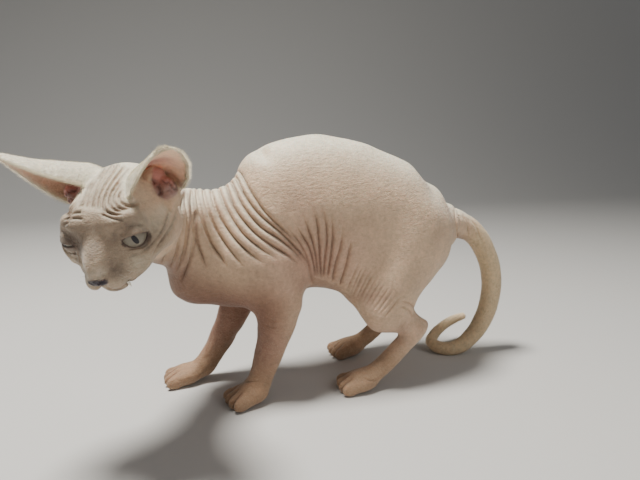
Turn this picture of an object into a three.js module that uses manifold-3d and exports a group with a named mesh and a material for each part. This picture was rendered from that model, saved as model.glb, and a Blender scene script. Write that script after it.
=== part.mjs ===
// A young sphynx cat, hunched on four feet with its head turned to its left and its tail curled on the floor.
// Millimetres. +Z is up, the cat faces -X, its left side is -Y, and the floor is z = 0.
// The flesh is one smooth field of limb sweeps and ellipsoids. It is turned into closed surfaces region by
// region, and thin cuts part the regions, so that neighbours meet with a hair's gap.
import * as THREE from "three";
import { edgeTable, triTable } from "three/addons/objects/MarchingCubes.js";
import { mergeVertices } from "three/addons/utils/BufferGeometryUtils.js";
import Module from "manifold-3d";

const wasm = await Module();
wasm.setup();

// Driving sizes
const cutGap = 0.3; // between two pieces that meet
const headYaw = 68; // degrees, from straight ahead towards the cat's left
const headPitch = 27; // degrees, nose down
const headRoll = 6; // degrees, left ear up
const headCentre = [-140.3, -63.5, 147.3];
const eyeRadius = 8.8;
const eyeCentre = [21.5, 13.6, 3.8]; // in the head's frame, left side
const earLength = 52;
const earHalfWidth = 18.5;
const earThickness = 1.8;
const floorLevel = 0; // the pads and the tail's bend are flat here

// How finely each region's surface is drawn
const cellSize = { trunk: 12.5, neck: 10, head: 5.5, limb: 7.6, paw: 5.2 };

const vec = (p) => new THREE.Vector3(p[0], p[1], p[2]);
const mix = (a, b, t) => a + (b - a) * t;

// Field helpers: a field gives about the distance to a surface, negative inside.
function smoothMin(a, b, blend) {
  const h = Math.max(blend - Math.abs(a - b), 0) / blend;
  return Math.min(a, b) - h * h * blend * 0.25;
}
const smoothMax = (a, b, blend) => -smoothMin(-a, -b, blend);

function ellipsoid(centre, radii) {
  return (x, y, z) => {
    const px = x - centre[0];
    const py = y - centre[1];
    const pz = z - centre[2];
    const unit = Math.hypot(px / radii[0], py / radii[1], pz / radii[2]);
    const slope = Math.hypot(px / radii[0] ** 2, py / radii[1] ** 2, pz / radii[2] ** 2);
    return slope < 1e-9 ? -Math.min(...radii) : (unit * (unit - 1)) / slope;
  };
}

// A sweep of oval sections along a smooth curve. Each station is [x, y, z, half width, half height].
function sweep(stations, samples = 32) {
  const path = new THREE.CatmullRomCurve3(stations.map(vec), false, "centripetal");
  const last = stations.length - 1;
  const rows = [];
  for (let i = 0; i <= samples; i++) {
    const t = i / samples;
    const place = path.getPoint(t);
    const along = path.getTangent(t);
    const across = new THREE.Vector3(-along.y, along.x, 0);
    if (across.lengthSq() < 1e-4) across.set(0, 1, 0);
    across.normalize();
    const upright = new THREE.Vector3().crossVectors(along, across);
    const k = Math.min(Math.floor(t * last), last - 1);
    const f = t * last - k;
    const ease = f * f * (3 - 2 * f);
    const width = mix(stations[k][3], stations[k + 1][3], ease);
    const height = mix(stations[k][4] ?? stations[k][3], stations[k + 1][4] ?? stations[k + 1][3], ease);
    rows.push({ place, along, across, upright, width, height });
  }
  return (x, y, z) => {
    let best = Infinity;
    let at = 0;
    let share = 0;
    for (let i = 0; i < samples; i++) {
      const a = rows[i].place;
      const b = rows[i + 1].place;
      const ex = b.x - a.x;
      const ey = b.y - a.y;
      const ez = b.z - a.z;
      let t = ((x - a.x) * ex + (y - a.y) * ey + (z - a.z) * ez) / (ex * ex + ey * ey + ez * ez);
      t = Math.min(1, Math.max(0, t));
      const gap = (x - a.x - ex * t) ** 2 + (y - a.y - ey * t) ** 2 + (z - a.z - ez * t) ** 2;
      if (gap < best) {
        best = gap;
        at = i;
        share = t;
      }
    }
    const a = rows[at];
    const b = rows[at + 1];
    const dx = x - mix(a.place.x, b.place.x, share);
    const dy = y - mix(a.place.y, b.place.y, share);
    const dz = z - mix(a.place.z, b.place.z, share);
    const dot = (p, q) =>
      dx * mix(p.x, q.x, share) + dy * mix(p.y, q.y, share) + dz * mix(p.z, q.z, share);
    const width = mix(a.width, b.width, share);
    const height = mix(a.height, b.height, share);
    const cap = Math.min(width, height);
    const u = dot(a.across, b.across);
    const v = dot(a.upright, b.upright);
    const w = dot(a.along, b.along);
    const unit = Math.hypot(u / width, v / height, w / cap);
    const slope = Math.hypot(u / width ** 2, v / height ** 2, w / cap ** 2);
    return slope < 1e-9 ? -cap : (unit * (unit - 1)) / slope;
  };
}

// The head's own frame: x to the nose, y to the cat's left, z to the crown.
function headAxes() {
  const yaw = THREE.MathUtils.degToRad(headYaw);
  const pitch = THREE.MathUtils.degToRad(headPitch);
  const roll = THREE.MathUtils.degToRad(headRoll);
  const forward = new THREE.Vector3(
    -Math.cos(yaw) * Math.cos(pitch),
    -Math.sin(yaw) * Math.cos(pitch),
    -Math.sin(pitch),
  );
  const level = new THREE.Vector3(Math.sin(yaw), -Math.cos(yaw), 0);
  const crown = new THREE.Vector3().crossVectors(forward, level);
  const left = level.clone().multiplyScalar(Math.cos(roll)).addScaledVector(crown, Math.sin(roll));
  const up = crown.clone().multiplyScalar(Math.cos(roll)).addScaledVector(level, -Math.sin(roll));
  return { forward, left, up };
}
const head = headAxes();
const headMatrix = new THREE.Matrix4()
  .makeBasis(head.forward, head.left, head.up)
  .setPosition(vec(headCentre));
const intoHead = headMatrix.clone().invert();

// Head shapes, for the left side; the right side mirrors them. [centre, radii, blend]
const headShapes = [
  [[-7, 0, 3.5], [28, 24.5, 22.5], 0], // brain case
  [[12, 0, 8], [20, 20, 15.5], 9], // forehead
  [[-3, 17, -11], [18, 12, 14], 9], // jaw muscle
  [[12, 20, -5], [14, 10.5, 8.5], 8], // cheekbone
  [[24, 8.5, 14], [8, 7.5, 5.5], 6], // brow
  [[27, 0, -8], [14.5, 12.5, 11.5], 7], // muzzle
  [[36, 0, -1], [10.5, 4.6, 6], 5], // bridge of the nose
  [[36, 5.2, -12.5], [8.6, 5.8, 5.6], 4], // whisker pad
  [[43.2, 0, -8], [3.4, 5, 3.8], 2.5], // nose leather
  [[31, 0, -20.6], [7, 7.2, 4.8], 4], // chin
  [[14, 9, -18], [18, 7.5, 6.5], 7], // lower jaw
];
const headFields = headShapes.map(([centre, radii, blend]) => [ellipsoid(centre, radii), blend]);
const eyeHollow = ellipsoid([31, 21, 8], [9.5, 9, 6.5]); // set back round the eye
function headField(x, y, z) {
  const side = Math.abs(y);
  let d = headFields[0][0](x, side, z);
  for (let i = 1; i < headFields.length; i++) {
    d = smoothMin(d, headFields[i][0](x, side, z), headFields[i][1]);
  }
  return smoothMax(d, -eyeHollow(x, side, z), 5);
}

// Trunk, neck and limbs. [x, y, z, half width, half height]
const trunk = sweep([
  [-88, 0, 107, 25, 34],
  [-67, 0, 108, 30, 41],
  [-46, 0, 117.5, 32, 48.5],
  [-23, 0, 131, 36, 61],
  [-2, 0, 137, 39, 60],
  [20, 0, 136, 40, 56.5],
  [46, 0, 129, 40, 54],
  [74, 0, 119, 37, 51],
  [99, 0, 120, 29, 39.5],
  [113, 0, 121, 15, 19],
]);
const breast = ellipsoid([-97, -1, 92], [19, 18, 18]);
const neck = sweep([
  [-66, 2, 121, 29, 40],
  [-94, -4, 127.5, 25, 31.5],
  [-115, -21, 135, 22.5, 26.5],
  [-130, -43, 144, 21, 23],
]);
const tailStations = [
  [106, 0, 122, 17.5],
  [121, 0, 122, 14.5],
  [132, 0, 119.5, 11.4],
  [143, -1, 113.5, 9.8],
  [156, -2, 97, 9],
  [165, -2, 74, 8.8],
  [166, -1, 50, 8.4],
  [160, 0, 30, 8],
  [149, 1, 15, 7.2],
  [135, 2, 6.3, 6.5],
  [122, 6, 5.6, 5.7],
  [116, 14, 8.5, 5],
  [121, 21, 11, 4.7],
  [133, 26, 17, 4.3],
  [149, 31, 21, 4],
  [165, 34, 23, 3.4],
];
const foreleg = {
  left: {
    arm: [[-66, -17, 116, 14, 24], [-50, -22, 96, 14, 22], [-40, -24, 76, 12, 17]],
    fore: [[-38, -24, 80, 12, 15], [-42, -24, 62, 11, 15], [-47, -23, 42, 9, 11.5],
      [-53, -22, 23, 8, 9.6], [-57, -22, 12, 8.5, 9]],
    paw: [-63.5, -22, 7.2],
    toesTo: 192,
  },
  right: {
    arm: [[-68, 17, 114, 14, 24], [-60, 22, 94, 13, 21], [-56, 25, 78, 11, 15]],
    fore: [[-54, 25, 80, 11, 14], [-63, 26, 60, 10, 13.5], [-72, 27, 41, 8.6, 11],
      [-83, 28, 22, 7.6, 9.2], [-90, 28, 12, 8.2, 9]],
    paw: [-104, 28, 7.2],
    toesTo: 180,
  },
};
const hindleg = {
  left: {
    thigh: [[84, -19, 122, 15, 27], [66, -26, 100, 16, 26], [50, -31, 78, 15, 23], [38, -33, 63, 11, 15]],
    flank: [[10, -18, 106, 12, 20], [20, -24, 86, 11, 15], [32, -29, 68, 10, 12]],
    shank: [[38, -33, 58, 10, 12], [54, -33, 54, 8.5, 11.5], [68, -32, 47, 6.8, 7.6]],
    heel: [[60, -32, 58, 4, 4], [70, -32, 52, 4, 4.4], [77.5, -32, 47, 4.5, 4.5]],
    foot: [[71, -32, 44, 7, 8.5], [58, -32, 32, 6.8, 7.8], [42, -32, 18, 7.2, 7.4], [31, -31, 10, 8.5, 7]],
    paw: [22, -31, 7.2],
    toesTo: 172,
  },
  right: {
    thigh: [[86, 19, 122, 15, 27], [74, 26, 98, 16, 26], [64, 31, 76, 15, 22], [54, 33, 61, 11, 15]],
    flank: [[20, 18, 106, 12, 20], [32, 24, 86, 11, 15], [46, 29, 68, 10, 12]],
    shank: [[56, 34, 55, 10, 12], [70, 34, 50, 8.5, 11], [84, 34, 43, 6.8, 7.6]],
    heel: [[77, 34, 54, 4, 4], [86, 34, 48, 4, 4.4], [93.5, 34, 43, 4.5, 4.5]],
    foot: [[87, 34, 40, 7, 8.5], [74, 34, 28, 6.8, 7.8], [60, 35, 16, 7.2, 7.4], [49, 35, 9.5, 8.2, 6.8]],
    paw: [40, 35, 7.2],
    toesTo: 180,
  },
};

// A paw: a pad block with four toes fanned about it. Directions are degrees round from +X.
const pawSize = { block: [12, 12.5, 8.2], reach: 10.5, spread: 21, toe: [8, 4.3, 5.6], toeDrop: 2.2 };
function pawShapes(centre, toesTo) {
  const shapes = [ellipsoid(centre, pawSize.block)];
  const turn = THREE.MathUtils.degToRad(toesTo);
  for (const slot of [-1.5, -0.5, 0.5, 1.5]) {
    const angle = turn + THREE.MathUtils.degToRad(slot * pawSize.spread * 0.55);
    const reach = pawSize.reach - Math.abs(slot) * 1.1;
    const side = slot * 5.6;
    const toeX = centre[0] + Math.cos(turn) * reach - Math.sin(turn) * side;
    const toeY = centre[1] + Math.sin(turn) * reach + Math.cos(turn) * side;
    const toeZ = centre[2] - pawSize.toeDrop;
    const along = [Math.cos(angle), Math.sin(angle)];
    const oval = ellipsoid([0, 0, 0], pawSize.toe);
    shapes.push((x, y, z) => {
      const dx = x - toeX;
      const dy = y - toeY;
      return oval(dx * along[0] + dy * along[1], dy * along[0] - dx * along[1], z - toeZ);
    });
  }
  return shapes;
}
function pawField(centre, toesTo) {
  const [block, ...toes] = pawShapes(centre, toesTo);
  return (x, y, z) => {
    let toeSum = Infinity;
    for (const toe of toes) toeSum = smoothMin(toeSum, toe(x, y, z), 1.2);
    return smoothMin(block(x, y, z), toeSum, 4);
  };
}

const tailRoot = sweep(tailStations.slice(0, 5), 20);
const legFields = [];
for (const leg of [foreleg.left, foreleg.right]) {
  const arm = sweep(leg.arm, 12);
  const fore = sweep(leg.fore, 20);
  const paw = pawField(leg.paw, leg.toesTo);
  legFields.push([(x, y, z) => smoothMin(smoothMin(arm(x, y, z), fore(x, y, z), 9), paw(x, y, z), 6), 13]);
}
for (const leg of [hindleg.left, hindleg.right]) {
  const haunch = sweep(leg.thigh, 16);
  const flank = sweep(leg.flank, 10);
  const shank = sweep(leg.shank, 12);
  const heel = sweep(leg.heel, 8);
  const foot = sweep(leg.foot, 16);
  const paw = pawField(leg.paw, leg.toesTo);
  legFields.push([(x, y, z) => {
    const lower = smoothMin(smoothMin(foot(x, y, z), heel(x, y, z), 4), paw(x, y, z), 6);
    const thigh = smoothMin(haunch(x, y, z), flank(x, y, z), 10);
    return smoothMin(smoothMin(thigh, shank(x, y, z), 9), lower, 4);
  }, 15]);
}

// The whole body
function bodyField(x, y, z) {
  let d = smoothMin(trunk(x, y, z), breast(x, y, z), 8);
  d = smoothMin(d, neck(x, y, z), 10);
  for (const [leg, blend] of legFields) d = smoothMin(d, leg(x, y, z), blend);
  d = smoothMin(d, tailRoot(x, y, z), 9);
  const p = new THREE.Vector3(x, y, z).applyMatrix4(intoHead);
  return smoothMin(d, headField(p.x, p.y, p.z), 9);
}

// Surface of a field in a box, by marching cubes, then evened out along the surface.
function surfaceOf(field, low, high, cell, evenings = 3) {
  const count = low.map((v, i) => Math.ceil((high[i] - v) / cell) + 1);
  const at = (i, j, k) => (k * count[1] + j) * count[0] + i;
  const values = new Float64Array(count[0] * count[1] * count[2]);
  for (let k = 0; k < count[2]; k++)
    for (let j = 0; j < count[1]; j++)
      for (let i = 0; i < count[0]; i++) {
        const edge = [i, j, k].some((n, axis) => n === 0 || n === count[axis] - 1);
        const d = field(low[0] + i * cell, low[1] + j * cell, low[2] + k * cell);
        values[at(i, j, k)] = edge ? Math.max(d, 0.5) : d;
      }
  const corners = [[0, 0, 0], [1, 0, 0], [1, 1, 0], [0, 1, 0], [0, 0, 1], [1, 0, 1], [1, 1, 1], [0, 1, 1]];
  const edges = [
    [0, 1], [1, 2], [3, 2], [0, 3], [4, 5], [5, 6], [7, 6], [4, 7], [0, 4], [1, 5], [2, 6], [3, 7],
  ];
  const points = [];
  const faces = [];
  const known = new Map();
  const crossing = (a, b) => {
    const key = at(...a) + "_" + at(...b);
    if (known.has(key)) return known.get(key);
    const va = values[at(...a)];
    const vb = values[at(...b)];
    const t = Math.min(0.94, Math.max(0.06, va / (va - vb)));
    points.push(a.map((n, axis) => low[axis] + mix(n, b[axis], t) * cell));
    known.set(key, points.length - 1);
    return points.length - 1;
  };
  for (let k = 0; k < count[2] - 1; k++)
    for (let j = 0; j < count[1] - 1; j++)
      for (let i = 0; i < count[0] - 1; i++) {
        const grid = corners.map(([a, b, c]) => [i + a, j + b, k + c]);
        let kind = 0;
        grid.forEach((g, bit) => (kind |= values[at(...g)] < 0 ? 1 << bit : 0));
        if (!edgeTable[kind]) continue;
        for (let n = kind * 16; triTable[n] >= 0; n += 3) {
          const face = [0, 1, 2].map((m) => {
            const [a, b] = edges[triTable[n + m]];
            return crossing(grid[a], grid[b]);
          });
          faces.push([face[0], face[2], face[1]]);
        }
      }
  const near = points.map(() => new Set());
  for (const f of faces)
    for (const [a, b] of [[f[0], f[1]], [f[1], f[2]], [f[2], f[0]]]) {
      near[a].add(b);
      near[b].add(a);
    }
  const step = 0.4;
  const slopeAt = ([x, y, z]) => {
    const g = [
      field(x + step, y, z) - field(x - step, y, z),
      field(x, y + step, z) - field(x, y - step, z),
      field(x, y, z + step) - field(x, y, z - step),
    ].map((v) => v / (2 * step));
    return [g, Math.max(Math.hypot(...g), 0.2)];
  };
  const ontoSurface = (p) => {
    const [g, size] = slopeAt(p);
    const d = Math.max(-cell / 2, Math.min(cell / 2, field(...p) / size));
    return p.map((v, axis) => v - (g[axis] / size) * d);
  };
  const settled = (p, i) => {
    const [g, size] = slopeAt(p);
    const around = [...near[i]];
    const mean = [0, 1, 2].map((axis) => around.reduce((s, n) => s + points[n][axis], 0) / around.length);
    const move = mean.map((v, axis) => (v - p[axis]) * 0.5);
    const out = move.reduce((s, v, axis) => s + (v * g[axis]) / size, 0);
    return ontoSurface(p.map((v, axis) => v + move[axis] - (g[axis] / size) * out));
  };
  for (let round = 0; round < evenings; round++) {
    const moved = points.map(settled);
    moved.forEach((p, i) => (points[i] = p));
  }
  const grownBy = (by) => points.map((p) => {
    const [g, size] = slopeAt(p);
    return p.map((v, axis) => v + (g[axis] / size) * by);
  });
  return {
    solid: solidOf(points.flat(), faces.flat()),
    grown: (by) => solidOf(grownBy(by).flat(), faces.flat()),
  };
}

function solidOf(coordinates, index) {
  return new wasm.Manifold(
    new wasm.Mesh({
      numProp: 3,
      vertProperties: new Float32Array(coordinates),
      triVerts: new Uint32Array(index),
    }),
  );
}

// A three.js geometry, in place, as a solid.
function solidFrom(geometry, matrix = new THREE.Matrix4()) {
  const plain = geometry.clone().applyMatrix4(matrix);
  for (const extra of Object.keys(plain.attributes)) if (extra !== "position") plain.deleteAttribute(extra);
  const merged = mergeVertices(plain, 1e-3);
  return solidOf([...merged.attributes.position.array], [...merged.index.array]);
}

// A block on one side of a cut: its near face lies on the plane through `point`, moved back by `back`.
function blockAt(point, normal, size, back = cutGap / 2) {
  const direction = vec(normal).normalize();
  const turn = new THREE.Quaternion().setFromUnitVectors(new THREE.Vector3(0, 0, 1), direction);
  const place = vec(point).addScaledVector(direction, size[2] / 2 + back);
  const matrix = new THREE.Matrix4().compose(place, turn, new THREE.Vector3(1, 1, 1));
  return solidFrom(new THREE.BoxGeometry(...size), matrix);
}
const far = [700, 700, 700];
const largest = (solid) => solid.decompose().sort((a, b) => b.volume() - a.volume())[0];

// The space on the far side of every plane of a list. Each plane is [point on it, the way it faces].
function spaceBeyond(planes, back) {
  const blocks = planes.map(([point, normal]) => blockAt(point, normal, far, back));
  return blocks.reduce((space, block) => space.intersect(block));
}

const aboveFloor = blockAt([0, 0, floorLevel], [0, 0, 1], far, 0);

// Where the regions part
const flip = ([point, normal]) => [point, normal.map((v) => -v)];
const headCut = [[-124, -36, 143], [-0.5, -0.8, 0.1]];
const neckCut = [[-84, 0, 124], [-0.8, -0.25, 0.5]];
const loinCut = [[14, 0, 130], [1, 0, -0.06]];
const rootCut = [[120, 0, 121], [0.96, 0, -0.1]];
const leftHalf = [[0, -1, 0], [0, -1, 0]];
const rightHalf = [[0, 1, 0], [0, 1, 0]];
const shoulderCut = {
  left: [[-40, -27, 74], [0.05, -0.45, -0.86]],
  right: [[-60, 27, 70], [0, 0.45, -0.86]],
};
const wristCut = {
  left: [[-55, -25, 20], [-0.5, 0, -0.87]],
  right: [[-91, 28, 20], [-0.5, 0, -0.87]],
};
const hipCut = {
  left: [[70, -30, 88], [-0.1, -0.7, -0.7]],
  right: [[84, 30, 86], [-0.1, 0.7, -0.7]],
};
const hockCut = {
  left: [[66, -32, 46.5], [0.37, 0, -0.93]],
  right: [[82, 34, 42.5], [0.37, 0, -0.93]],
};
const limbSpaces = [
  [leftHalf, shoulderCut.left, [[10, 0, 0], [-1, 0, 0]]],
  [rightHalf, shoulderCut.right, [[10, 0, 0], [-1, 0, 0]]],
  [leftHalf, hipCut.left, [[12, 0, 0], [1, 0, 0]]],
  [rightHalf, hipCut.right, [[12, 0, 0], [1, 0, 0]]],
];

// One region of the body: its surface in a box, kept beyond some planes and outside other spaces.
function regionOf({ low, high, cell, keep, drop = [] }) {
  let solid = surfaceOf(bodyField, low, high, cell).solid.intersect(aboveFloor);
  if (keep.length) solid = solid.intersect(spaceBeyond(keep, cutGap / 2));
  for (const planes of drop) solid = solid.subtract(spaceBeyond(planes, -cutGap / 2));
  return largest(solid);
}

const regions = {
  neck: {
    low: [-150, -66, 64], high: [-40, 52, 190], cell: cellSize.neck, keep: [neckCut], drop: [[headCut]],
  },
  trunk_front: {
    low: [-128, -62, 46],
    high: [28, 62, 214],
    cell: cellSize.trunk,
    keep: [flip(neckCut), flip(loinCut)],
    drop: limbSpaces.slice(0, 2),
  },
  trunk_rear: {
    low: [0, -62, 50],
    high: [138, 62, 212],
    cell: cellSize.trunk,
    keep: [loinCut, flip(rootCut)],
    drop: limbSpaces.slice(2),
  },
};
const legBoxes = {
  foreleg_left: [[-96, -58, 6], [-6, 4, 96]],
  foreleg_right: [[-128, -4, 6], [-20, 58, 96]],
  hindleg_left: [[8, -66, 26], [130, 4, 122]],
  hindleg_right: [[8, -4, 22], [138, 66, 122]],
};
const pawBoxes = {
  forepaw_left: [[-94, -50, -6], [-34, 2, 34]],
  forepaw_right: [[-134, 4, -6], [-68, 52, 34]],
  hindpaw_left: [[-4, -54, -6], [92, -8, 66]],
  hindpaw_right: [[14, 10, -6], [108, 60, 62]],
};
["left", "right"].forEach((side, i) => {
  const [foreLow, foreHigh] = legBoxes["foreleg_" + side];
  const [hindLow, hindHigh] = legBoxes["hindleg_" + side];
  const [pawLow, pawHigh] = pawBoxes["forepaw_" + side];
  const [footLow, footHigh] = pawBoxes["hindpaw_" + side];
  regions["foreleg_" + side] = {
    low: foreLow,
    high: foreHigh,
    cell: cellSize.limb,
    keep: [...limbSpaces[i], flip(wristCut[side])],
  };
  regions["hindleg_" + side] = {
    low: hindLow,
    high: hindHigh,
    cell: cellSize.limb,
    keep: [...limbSpaces[2 + i], flip(hockCut[side])],
  };
  regions["forepaw_" + side] = { low: pawLow, high: pawHigh, cell: cellSize.paw, keep: [wristCut[side]] };
  regions["hindpaw_" + side] = { low: footLow, high: footHigh, cell: cellSize.paw, keep: [hockCut[side]] };
});

// An ear: a cupped shell with a broad foot and a rounded tip, in the head's frame. Its foot is turned
// about its axis by the twist, in degrees.
const earShapes = {
  left: { foot: [-10, 28, 5], axis: [0.53, 0.28, 0.8], opening: [0.64, 0.52, -0.57], twist: 0 },
  right: { foot: [-10, -28, 5], axis: [0.38, -0.36, 0.86], opening: [0.64, -0.52, -0.57], twist: 30 },
};
const earRings = 9;
const earSteps = 8;
const earWidths = [[0, 0.86], [0.2, 1], [0.5, 0.9], [0.75, 0.65], [0.9, 0.4], [1, 0.12]];
const earCup = [[0, 105], [0.35, 84], [0.7, 58], [1, 40]]; // half angle of the cupped section, degrees
function along(table, s) {
  const k = Math.max(1, table.findIndex(([at]) => at >= s));
  const [a, va] = table[k - 1];
  const [b, vb] = table[k];
  return mix(va, vb, (s - a) / (b - a));
}
function earSolid(side) {
  const shape = earShapes[side];
  const axis = vec(shape.axis).normalize();
  const opening = vec(shape.opening).addScaledVector(axis, -axis.dot(vec(shape.opening))).normalize();
  const across = new THREE.Vector3().crossVectors(axis, opening).multiplyScalar(side === "left" ? 1 : -1);
  const place = (s, t, inward) => {
    const cup = THREE.MathUtils.degToRad(along(earCup, s));
    const half = earHalfWidth * along(earWidths, s);
    const radius = half / Math.sin(Math.min(cup, Math.PI / 2)) - inward;
    const shift = -10 * (1 - s) ** 1.2;
    const centre = (radius + inward) * Math.cos(cup);
    const twist = THREE.MathUtils.degToRad(shape.twist * (1 - s));
    return vec(shape.foot)
      .addScaledVector(axis, earLength * s - inward * (s > 0.99 ? 1 : 0))
      .addScaledVector(across.clone().applyAxisAngle(axis, twist), shift + radius * Math.sin(cup * t))
      .addScaledVector(opening.clone().applyAxisAngle(axis, twist), centre - radius * Math.cos(cup * t));
  };
  const points = [];
  const faces = [];
  const id = (layer, i, j) => (layer * (earRings + 1) + i) * (earSteps + 1) + j;
  for (const inward of [0, earThickness])
    for (let i = 0; i <= earRings; i++)
      for (let j = 0; j <= earSteps; j++) points.push(place(i / earRings, (2 * j) / earSteps - 1, inward));
  const quad = (a, b, c, d) => faces.push(a, b, c, a, c, d);
  for (let i = 0; i < earRings; i++)
    for (let j = 0; j < earSteps; j++) {
      quad(id(0, i, j), id(0, i, j + 1), id(0, i + 1, j + 1), id(0, i + 1, j));
      quad(id(1, i, j), id(1, i + 1, j), id(1, i + 1, j + 1), id(1, i, j + 1));
    }
  for (let i = 0; i < earRings; i++) {
    quad(id(0, i, 0), id(0, i + 1, 0), id(1, i + 1, 0), id(1, i, 0));
    quad(id(0, i + 1, earSteps), id(0, i, earSteps), id(1, i, earSteps), id(1, i + 1, earSteps));
  }
  for (let j = 0; j < earSteps; j++) {
    quad(id(0, 0, j + 1), id(0, 0, j), id(1, 0, j), id(1, 0, j + 1));
    quad(id(0, earRings, j), id(0, earRings, j + 1), id(1, earRings, j + 1), id(1, earRings, j));
  }
  const coordinates = points.flatMap((p) => p.applyMatrix4(headMatrix).toArray());
  return facingOut(coordinates, faces);
}

// A tapered tube along a curve, with a flat foot and a round tip. Stations are [x, y, z, radius].
function taperedTube(stations, rings, sides) {
  const curve = new THREE.CatmullRomCurve3(stations.map(vec), false, "centripetal");
  const frames = curve.computeFrenetFrames(rings, false);
  const last = stations.length - 1;
  const points = [curve.getPointAt(0)];
  const faces = [];
  for (let i = 0; i <= rings; i++) {
    const t = curve.getUtoTmapping(i / rings);
    const k = Math.min(Math.floor(t * last), last - 1);
    const roundTip = Math.sqrt(Math.min(1, (1 - i / rings) * rings * 0.5 + 0.2));
    const radius = mix(stations[k][3], stations[k + 1][3], t * last - k) * roundTip;
    for (let j = 0; j < sides; j++) {
      const angle = (j / sides) * 2 * Math.PI;
      points.push(
        curve.getPoint(t)
          .addScaledVector(frames.normals[i], radius * Math.cos(angle))
          .addScaledVector(frames.binormals[i], radius * Math.sin(angle)),
      );
    }
  }
  points.push(curve.getPointAt(1).addScaledVector(frames.tangents[rings], stations[last][3] * 0.4));
  const id = (i, j) => 1 + i * sides + (j % sides);
  for (let j = 0; j < sides; j++) {
    faces.push(0, id(0, j + 1), id(0, j), points.length - 1, id(rings, j), id(rings, j + 1));
    for (let i = 0; i < rings; i++) {
      faces.push(id(i, j), id(i, j + 1), id(i + 1, j + 1), id(i, j), id(i + 1, j + 1), id(i + 1, j));
    }
  }
  return facingOut(points.flatMap((p) => p.toArray()), faces);
}

// A closed surface as a solid, turned right side out.
function facingOut(coordinates, faces) {
  const solid = solidOf(coordinates, faces);
  if (solid.volume() > 0) return solid;
  const turned = [];
  for (let i = 0; i < faces.length; i += 3) turned.push(faces[i], faces[i + 2], faces[i + 1]);
  return solidOf(coordinates, turned);
}

// The head, with sockets for the eyes and a seat for the nose leather
const inHead = (centre, radii, turn = [0, 0, 0]) =>
  headMatrix.clone().multiply(
    new THREE.Matrix4().compose(
      vec(centre),
      new THREE.Quaternion().setFromEuler(new THREE.Euler(...turn)),
      vec(radii),
    ),
  );
const ball = new THREE.SphereGeometry(1, 12, 9);
const headBox = { low: [-196, -124, 96], high: [-90, -6, 206] };
const headSurface = surfaceOf(bodyField, headBox.low, headBox.high, cellSize.head);
const solids = {};
let headSolid = headSurface.solid.intersect(spaceBeyond([headCut], cutGap / 2));
const lidOpening = { depth: 9, halfWidth: 7.2, halfHeight: 4.6, outward: 25, slant: 10 };
for (const [side, sign] of [["left", 1], ["right", -1]]) {
  const centre = [eyeCentre[0], eyeCentre[1] * sign, eyeCentre[2]];
  const socket = eyeRadius + cutGap;
  solids["eye_" + side] = solidFrom(ball, inHead(centre, [eyeRadius, eyeRadius, eyeRadius]));
  headSolid = headSolid.subtract(solidFrom(ball, inHead(centre, [socket, socket, socket])));
  const yaw = THREE.MathUtils.degToRad(lidOpening.outward) * sign;
  const slant = THREE.MathUtils.degToRad(lidOpening.slant) * sign;
  const mouth = [centre[0] + Math.cos(yaw) * eyeRadius, centre[1] + Math.sin(yaw) * eyeRadius, centre[2]];
  const size = [lidOpening.depth, lidOpening.halfWidth, lidOpening.halfHeight];
  headSolid = headSolid.subtract(solidFrom(ball, inHead(mouth, size, [slant, 0, yaw])));
}
const noseLeather = { centre: [46, 0, -8.4], radii: [3.6, 5.2, 4] };
const noseSeat = noseLeather.radii.map((r) => r + cutGap);
const noseCutter = solidFrom(ball, inHead(noseLeather.centre, noseLeather.radii));
solids.nose = largest(headSolid.intersect(noseCutter));
solids.head = largest(headSolid.subtract(solidFrom(ball, inHead(noseLeather.centre, noseSeat))));

for (const [name, region] of Object.entries(regions)) solids[name] = regionOf(region);

const skull = headSurface.grown(cutGap);
for (const side of ["left", "right"]) solids["ear_" + side] = largest(earSolid(side).subtract(skull));

// The tail in four lengths, flat where it lies on the floor
const tailCuts = [
  rootCut,
  [[163, -2, 82], [0.3, 0, -0.95]],
  [[163, 0, 38], [-0.35, 0.1, -0.93]],
  [[116, 14, 8.5], [-0.1, 1, 0.1]],
];
const tailTube = taperedTube(tailStations, 38, 9).intersect(aboveFloor);
const tailNames = ["tail_base", "tail_middle", "tail_lower", "tail_tip"];
const tailBoxes = [
  [[100, -40, 70], [200, 40, 150]],
  [[100, -40, 30], [200, 40, 100]],
  [[100, -40, -1], [200, 40, 50]],
  [[100, 4, -1], [200, 80, 50]],
];
tailNames.forEach((name, i) => {
  const planes = [tailCuts[i]];
  if (tailCuts[i + 1]) planes.push(flip(tailCuts[i + 1]));
  const [low, high] = tailBoxes[i];
  const box = new THREE.BoxGeometry(...high.map((v, axis) => v - low[axis]));
  const middle = new THREE.Matrix4().makeTranslation(...high.map((v, axis) => (v + low[axis]) / 2));
  const length = tailTube.intersect(solidFrom(box, middle));
  solids[name] = largest(length.intersect(spaceBeyond(planes, cutGap / 2)));
});

// Looks of the nodes
const finishes = {
  skin: { color: 0xc2a998, roughness: 0.6 },
  earSkin: { color: 0xc49a8a, roughness: 0.6 },
  pawSkin: { color: 0x9c8473, roughness: 0.65 },
  tailSkin: { color: 0xb5a27d, roughness: 0.7 },
  noseLeather: { color: 0x4a4448, roughness: 0.45 },
  eye: { color: 0x9aa394, roughness: 0.08 },
};
const finishOf = (name) => {
  if (name.startsWith("ear")) return finishes.earSkin;
  if (name.startsWith("eye")) return finishes.eye;
  if (name.startsWith("tail")) return finishes.tailSkin;
  if (name.includes("paw")) return finishes.pawSkin;
  return name === "nose" ? finishes.noseLeather : finishes.skin;
};

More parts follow.
